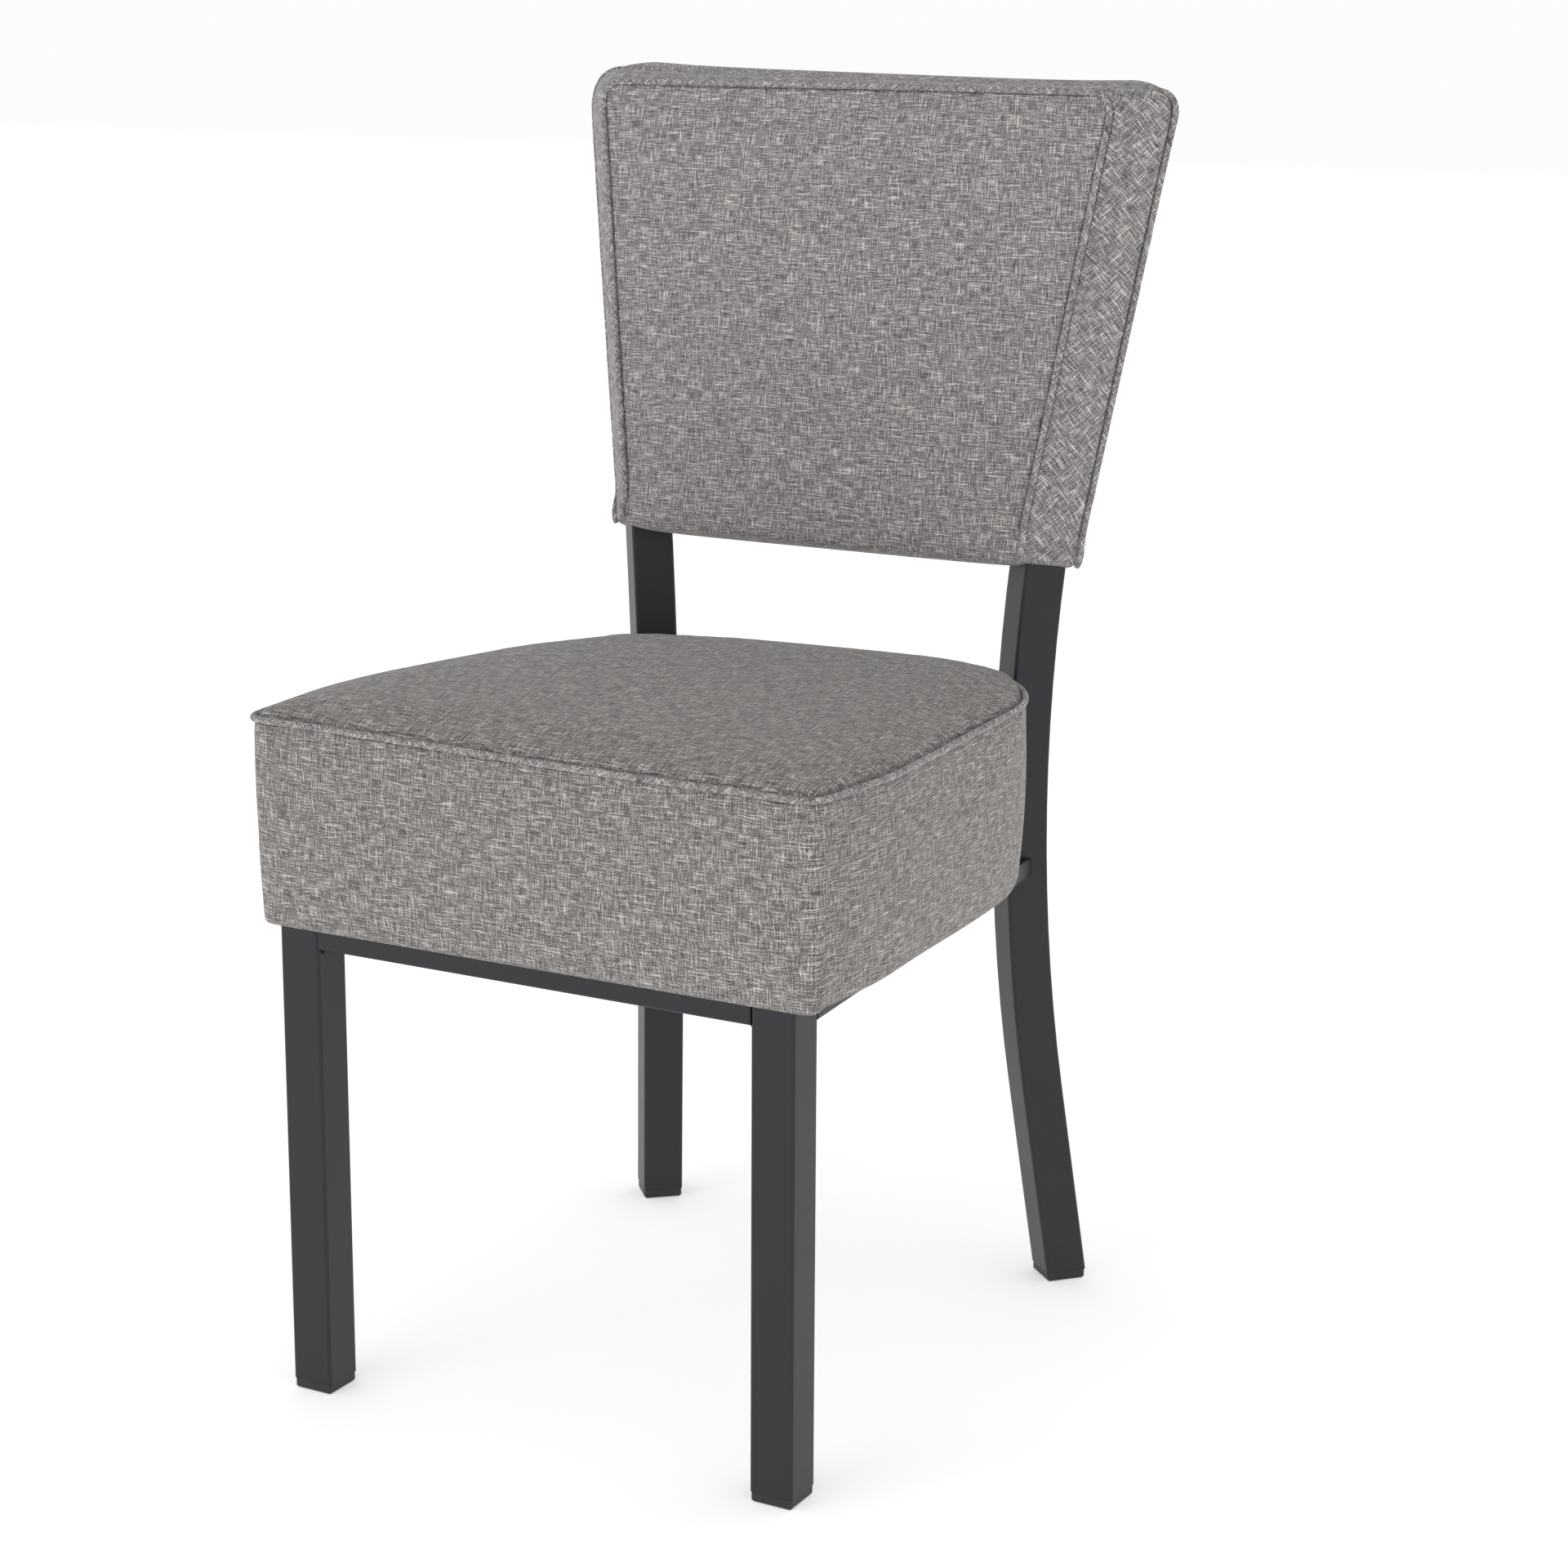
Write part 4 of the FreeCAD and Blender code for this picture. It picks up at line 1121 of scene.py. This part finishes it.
    def build(self, finishes: Finishes) -> None:
        """Makes the cushion and its welt.

        Args:
            finishes: the chair's finishes.
        """
        points, out, across, along = self.outline()
        rings = self.wall(points, out)
        shell = SewnShell(rings, across, along)
        lifts = (self.crown, lambda s, t: np.zeros(3))
        mesh, numbers = shell.mesh("seat_cushion", lifts, ((0, 1), (0, 1)))
        # The seat's cloth carries painted shade: the back's weave, made darker.
        mesh.materials.append(finishes.shaded_seat_cloth)
        piece = link("seat_cushion", mesh)
        sewn = np.zeros(len(mesh.vertices))
        sewn[numbers["rings"][0]] = 1.0
        sewn[numbers["rings"][1]] = 0.9
        sewn[numbers["rings"][-6:].ravel()] = 1.0
        sewn[numbers["panel_1"].ravel()] = 1.0
        stuff(piece, sewn, self.reach)
        soften(piece)
        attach(piece, BODY)
        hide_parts("seat_boxing", "seat_foam", "seat_wadding", "seat_top_cover")
        LOG.info("seat_cushion: %d faces", len(mesh.polygons))
        path = self._ring(points, out, 0.0004, self.seam_at(points) + 0.0002)
        welt = Welt().piece("seat_welt_cord", path, True, finishes.bias)
        soften(welt)
        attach(welt, BODY)
        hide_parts("seat_welt")


@dataclass
class UpholsteredBack:
    """The boxed back: a front panel, a side and top band, a slanted rear and two welts."""

    bottom: float = 0.5630
    front_bottom: float = 0.5712
    front_half: float = 0.1647
    front_half_top: float = 0.2139
    front_setback: float = 0.3959
    front_top: float = 0.9030
    seam_half: float = 0.1955
    seam_half_top: float = 0.2480
    seam_setback: float = 0.4335
    seam_top: float = 0.9085
    rear_half: float = 0.1740
    rear_half_top: float = 0.2240
    rear_setback: float = 0.4590
    rear_top: float = 0.9120
    recline: float = math.radians(7.6)
    front_radius: float = 0.017
    seam_radius: float = 0.028
    seam_radius_right: float = 0.019
    rear_radius: float = 0.020
    bottom_radius: float = 0.007
    ear: float = 0.0050
    ear_tilt: float = 0.0042
    crown: float = 0.0035
    rear_crown: float = 0.001
    edge: float = 0.0026
    edge_turn: float = 0.004
    belly: float = 0.0012
    groove: float = 0.0024
    groove_width: float = 0.0030
    rear_groove: float = 0.0022
    slack: float = 1.8
    step: float = 0.0066
    close: tuple[float, ...] = (0.0, 0.0016, 0.0042, 0.009)
    reach: float = 0.005

    def loop(self, halves: tuple[float, float], setback: float, ends: tuple[float, float],
             radii: tuple[float, float, float], ear: float = 0.0) -> np.ndarray:
        """A ring of the back at one depth: a trapezium that flares and leans.

        Args:
            halves: half its width at the back's bottom and at its own top.
            setback: its setback at the bottom.
            ends: heights of its bottom and top edges.
            radii: radii of its bottom corners, and of its top right and top left ones.
            ear: how far its top corners stand up, as a share of the most.

        Returns:
            Its points, from the lower left corner.
        """
        low, top = ends
        slope = (halves[1] - halves[0]) / (top - self.bottom)
        half, wide = halves[0] + slope * (low - self.bottom), halves[1]
        corners = [(-half, low), (half, low), (wide, top), (-wide, top)]
        line = rounded_outline(corners, [radii[0], radii[0], *radii[1:]])
        far = closed_length(line)
        line = np.vstack([line, line[:1]])
        marks = [0.0, *(nearest(line, far, corner) for corner in corners[1:]), float(far[-1])]
        flat = at_lengths(line, far, between(marks, self.shares() * 2))
        place = flat[:, 0] / wide
        high = smoothstep(flat[:, 1], top - 0.07, top)
        lift = self.ear * (np.abs(place) ** 5 - 0.75) - self.ear_tilt * place
        flat[:, 1] += ear * high * lift
        y = setback + FRONT + (flat[:, 1] - self.bottom) * math.tan(self.recline)
        return np.column_stack([flat[:, 0], y, flat[:, 1]])

    def shares(self) -> tuple[np.ndarray, np.ndarray]:
        """Shares across and up the back."""
        return (spaced(2 * self.seam_half, self.close, self.step),
                spaced(self.front_top - self.bottom, self.close, self.step))

    def band(self) -> tuple[np.ndarray, int, np.ndarray]:
        """Rings from the front seam to the rear panel.

        Returns:
            The rings, the number of the one at the rear seam, and how deep the seams are round them.
        """
        front = self.loop((self.front_half, self.front_half_top), self.front_setback,
                          (self.front_bottom, self.front_top),
                          (self.bottom_radius, self.front_radius, self.front_radius))
        seam = self.loop((self.seam_half, self.seam_half_top), self.seam_setback,
                         (self.bottom, self.seam_top),
                         (self.bottom_radius, self.seam_radius_right, self.seam_radius), 1.0)
        rear = self.loop((self.rear_half, self.rear_half_top), self.rear_setback,
                         (self.bottom, self.rear_top),
                         (self.bottom_radius, self.rear_radius, self.rear_radius), 0.8)
        middle = (front + seam) / 2
        centre = middle.mean(0)
        out = middle - centre
        out[:, 1] = 0
        below = 1 - smoothstep(middle[:, 2], self.bottom + 0.012, self.bottom + 0.030)
        tangent = np.roll(middle, -1, 0) - np.roll(middle, 1, 0)
        lengthways = seam - front
        normal = outward(tangent, lengthways, out)
        groove = 1.0 - self.slack * below
        width = float(np.linalg.norm(lengthways, axis=1).mean())
        rings = []
        for share in spaced(width, (0.0, 0.0018, 0.0045, 0.009), 0.007):
            near = min(share, 1 - share) * width
            dip = -self.groove * math.exp(-near / self.groove_width) * groove
            rings.append(front + lengthways * share + normal * (dip + self.swollen(share))[:, None])
        last = len(rings) - 1
        behind = rear - seam
        slant = outward(tangent, behind, out)
        depth = float(np.linalg.norm(behind, axis=1).mean())
        for share in spaced(depth, (0.0, 0.0018, 0.0045), 0.006)[1:]:
            near = share * depth
            dip = -self.rear_groove * math.exp(-near / self.rear_groove)
            rings.append(seam + behind * share + slant * (dip + self.swollen(share)))
        return np.array(rings), last, 1 - below

    def swollen(self, share: float) -> float:
        """How far a strip between two seams stands out, at a share of its width."""
        return self.belly * math.sin(math.pi * share) ** 0.8 if 0 < share < 1 else 0.0

    def padding(self, sign: float, rise: float) -> Lift:
        """How far a panel stands out in its middle.

        Args:
            sign: -1 for the front panel and 1 for the rear one.
            rise: how far.

        Returns:
            A function of the two shares across the panel.
        """
        tilt = math.tan(self.recline)

        def lift(s: np.ndarray, t: np.ndarray) -> np.ndarray:
            """What to add to the panel's points."""
            side = np.minimum(s, 1 - s) * 2 * self.front_half
            end = np.minimum(t, 1 - t) * (self.front_top - self.bottom)
            turn = self.edge_turn
            edge = self.edge * (1 - np.exp(-side / turn)) * (1 - np.exp(-end / turn))
            out = (edge + rise * pillow(s, t)) * sign
            return np.concatenate([np.zeros_like(out), out, -out * tilt], 2)

        return lift

    def build(self, finishes: Finishes) -> None:
        """Makes the back and its two welts.

        Args:
            finishes: the chair's finishes.
        """
        rings, rear_seam, sunk = self.band()
        across, along = self.shares()
        shell = SewnShell(rings, across, along, seams=(0, rear_seam), shades=(0.7, 0.9, 0.3), sunk=sunk)
        lifts = (self.padding(-1, self.crown), self.padding(1, self.rear_crown))
        mesh, numbers = shell.mesh("back_cushion", lifts, ((0, 2), (0, 2)))
        for cloth in (finishes.straight, finishes.bias):
            mesh.materials.append(cloth)
        mesh.polygons.foreach_set("material_index", [int(zone == 1) for zone in shell.zones])
        piece = link("back_cushion", mesh)
        sewn = np.zeros(len(mesh.vertices))
        for ring in (0, rear_seam):
            sewn[numbers["rings"][ring]] = 0.25 + 0.75 * sunk
        sewn[numbers["rings"][-1]] = 1.0
        sewn[numbers["panel_1"].ravel()] = 0.6
        stuff(piece, sewn, self.reach)
        soften(piece)
        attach(piece, BODY)
        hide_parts("back_front_cover", "back_boxing", "back_rear_cover", "back_bottom_cover",
                    "back_foam_front", "back_foam_rear")
        LOG.info("back_cushion: %d faces", len(mesh.polygons))
        nu = len(across) - 1
        order = np.arange(nu, len(rings[0]) + 1) % len(rings[0])
        for name, ring, node in (("back_welt_cord_front", rings[0], "back_front_welt"),
                                 ("back_welt_cord_rear", rings[rear_seam], "back_rear_welt")):
            out = ring - ring.mean(0)
            out[:, 1] = 0
            out /= np.linalg.norm(out, axis=1, keepdims=True)
            forward = -1.0 if "front" in name else 0.3
            path = (ring + out * 0.0012 + np.array([0, 0.0012 * forward, 0]))[order]
            welt = Welt(seed=len(name)).piece(name, path, False, finishes.bias)
            soften(welt)
            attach(welt, BODY)
            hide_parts(node)


@dataclass(frozen=True)
class Studio:
    """A pale floor, soft light and the camera."""

    azimuth: float = math.radians(29.01)
    elevation: float = math.radians(13.62)
    roll: float = math.radians(0.29)
    distance: float = 2.32283
    target: tuple[float, float, float] = (0.08414, 0.2000, 0.43474)
    lens: float = 76.92
    shift: tuple[float, float] = (-1.14 / 1920, 1.51 / 1920)
    floor_size: float = 30.0

    def camera(self) -> None:
        """Places the camera."""
        az, el = self.azimuth, self.elevation
        toward = Vector((math.sin(az) * math.cos(el), -math.cos(az) * math.cos(el), math.sin(el)))
        right = (-toward).cross(Vector((0, 0, 1))).normalized()
        up = right.cross(-toward)
        across = right * math.cos(self.roll) + up * math.sin(self.roll)
        upward = up * math.cos(self.roll) - right * math.sin(self.roll)
        aim = Vector((self.target[0], self.target[1] + FRONT, self.target[2]))
        data = bpy.data.cameras.new("camera")
        data.sensor_width, data.lens = 36.0, self.lens
        data.shift_x, data.shift_y = self.shift
        camera = bpy.data.objects.new("camera", data)
        turn = Matrix((across, upward, toward)).transposed().to_4x4()
        camera.matrix_world = Matrix.Translation(aim + toward * self.distance) @ turn
        bpy.context.scene.collection.objects.link(camera)
        bpy.context.scene.camera = camera

    def floor(self) -> None:
        """Lays the floor."""
        half = self.floor_size / 2
        mesh = bpy.data.meshes.new("floor")
        corners = [(-half, -half, 0), (half, -half, 0), (half, half, 0), (-half, half, 0)]
        mesh.from_pydata(corners, [], [(0, 1, 2, 3)])
        sh = Shader("studio_floor")
        faint = sh.noise(sh.object_place(), 3.0, 2.0)
        colour = sh.mix(faint, linear(246, 246, 246), linear(250, 250, 250))
        beneath = Number(sh, sh.node("NewGeometry").outputs["Backfacing"])
        mesh.materials.append(sh.finish({"Base Color": colour, "Roughness": 0.9, "Emission Color": (1, 1, 1),
                                         "Emission Strength": 0.41, "Alpha": 1 - beneath}))
        floor = link("floor", mesh)

    def light(self, name: str, place: tuple[float, float, float], size: float, power: float) -> None:
        """Hangs one soft light that faces the chair.

        Args:
            name: the light's name.
            place: where it hangs.
            size: its side.
            power: its power.
        """
        data = bpy.data.lights.new(name, "AREA")
        data.shape, data.size, data.energy = "SQUARE", size, power
        lamp = bpy.data.objects.new(name, data)
        lamp.location = place
        lamp.rotation_euler = (Vector((0, 0, 0.5)) - Vector(place)).to_track_quat("-Z", "Y").to_euler()
        bpy.context.scene.collection.objects.link(lamp)

    def sky(self) -> None:
        """Lights the room: bright walls and a dimmer ceiling."""
        world = bpy.data.worlds.new("studio")
        bpy.context.scene.world = world
        sh = Shader("studio", world)
        place = sh.node("TexCoord").outputs["Generated"]
        height = sh.node("SeparateXYZ", None, {0: place}).outputs[2]
        ramp = sh.node("MapRange", None, {0: height, 1: 0.35, 2: 1.0, 3: 1.22, 4: 0.56})
        glow = sh.node("Background", None, {"Strength": ramp.outputs[0]})
        sh.node("OutputWorld", None, {"Surface": glow.outputs[0]})

    def build(self) -> None:
        """Makes the whole studio."""
        self.camera()
        self.floor()
        self.sky()
        self.light("key", (-1.0, -3.2, 2.4), 2.4, 21.0)
        bpy.context.scene.view_settings.view_transform = "Standard"


def main() -> None:
    """Builds the chair's upholstery round its frame, and the studio."""
    logging.basicConfig(level=logging.INFO, format="%(name)s %(message)s", stream=sys.stdout)
    finishes = Finishes.make()
    SteelFrame().dress(finishes)
    SeatCushion().build(finishes)
    UpholsteredBack().build(finishes)
    Studio().build()


if __name__ == "__main__":
    main()
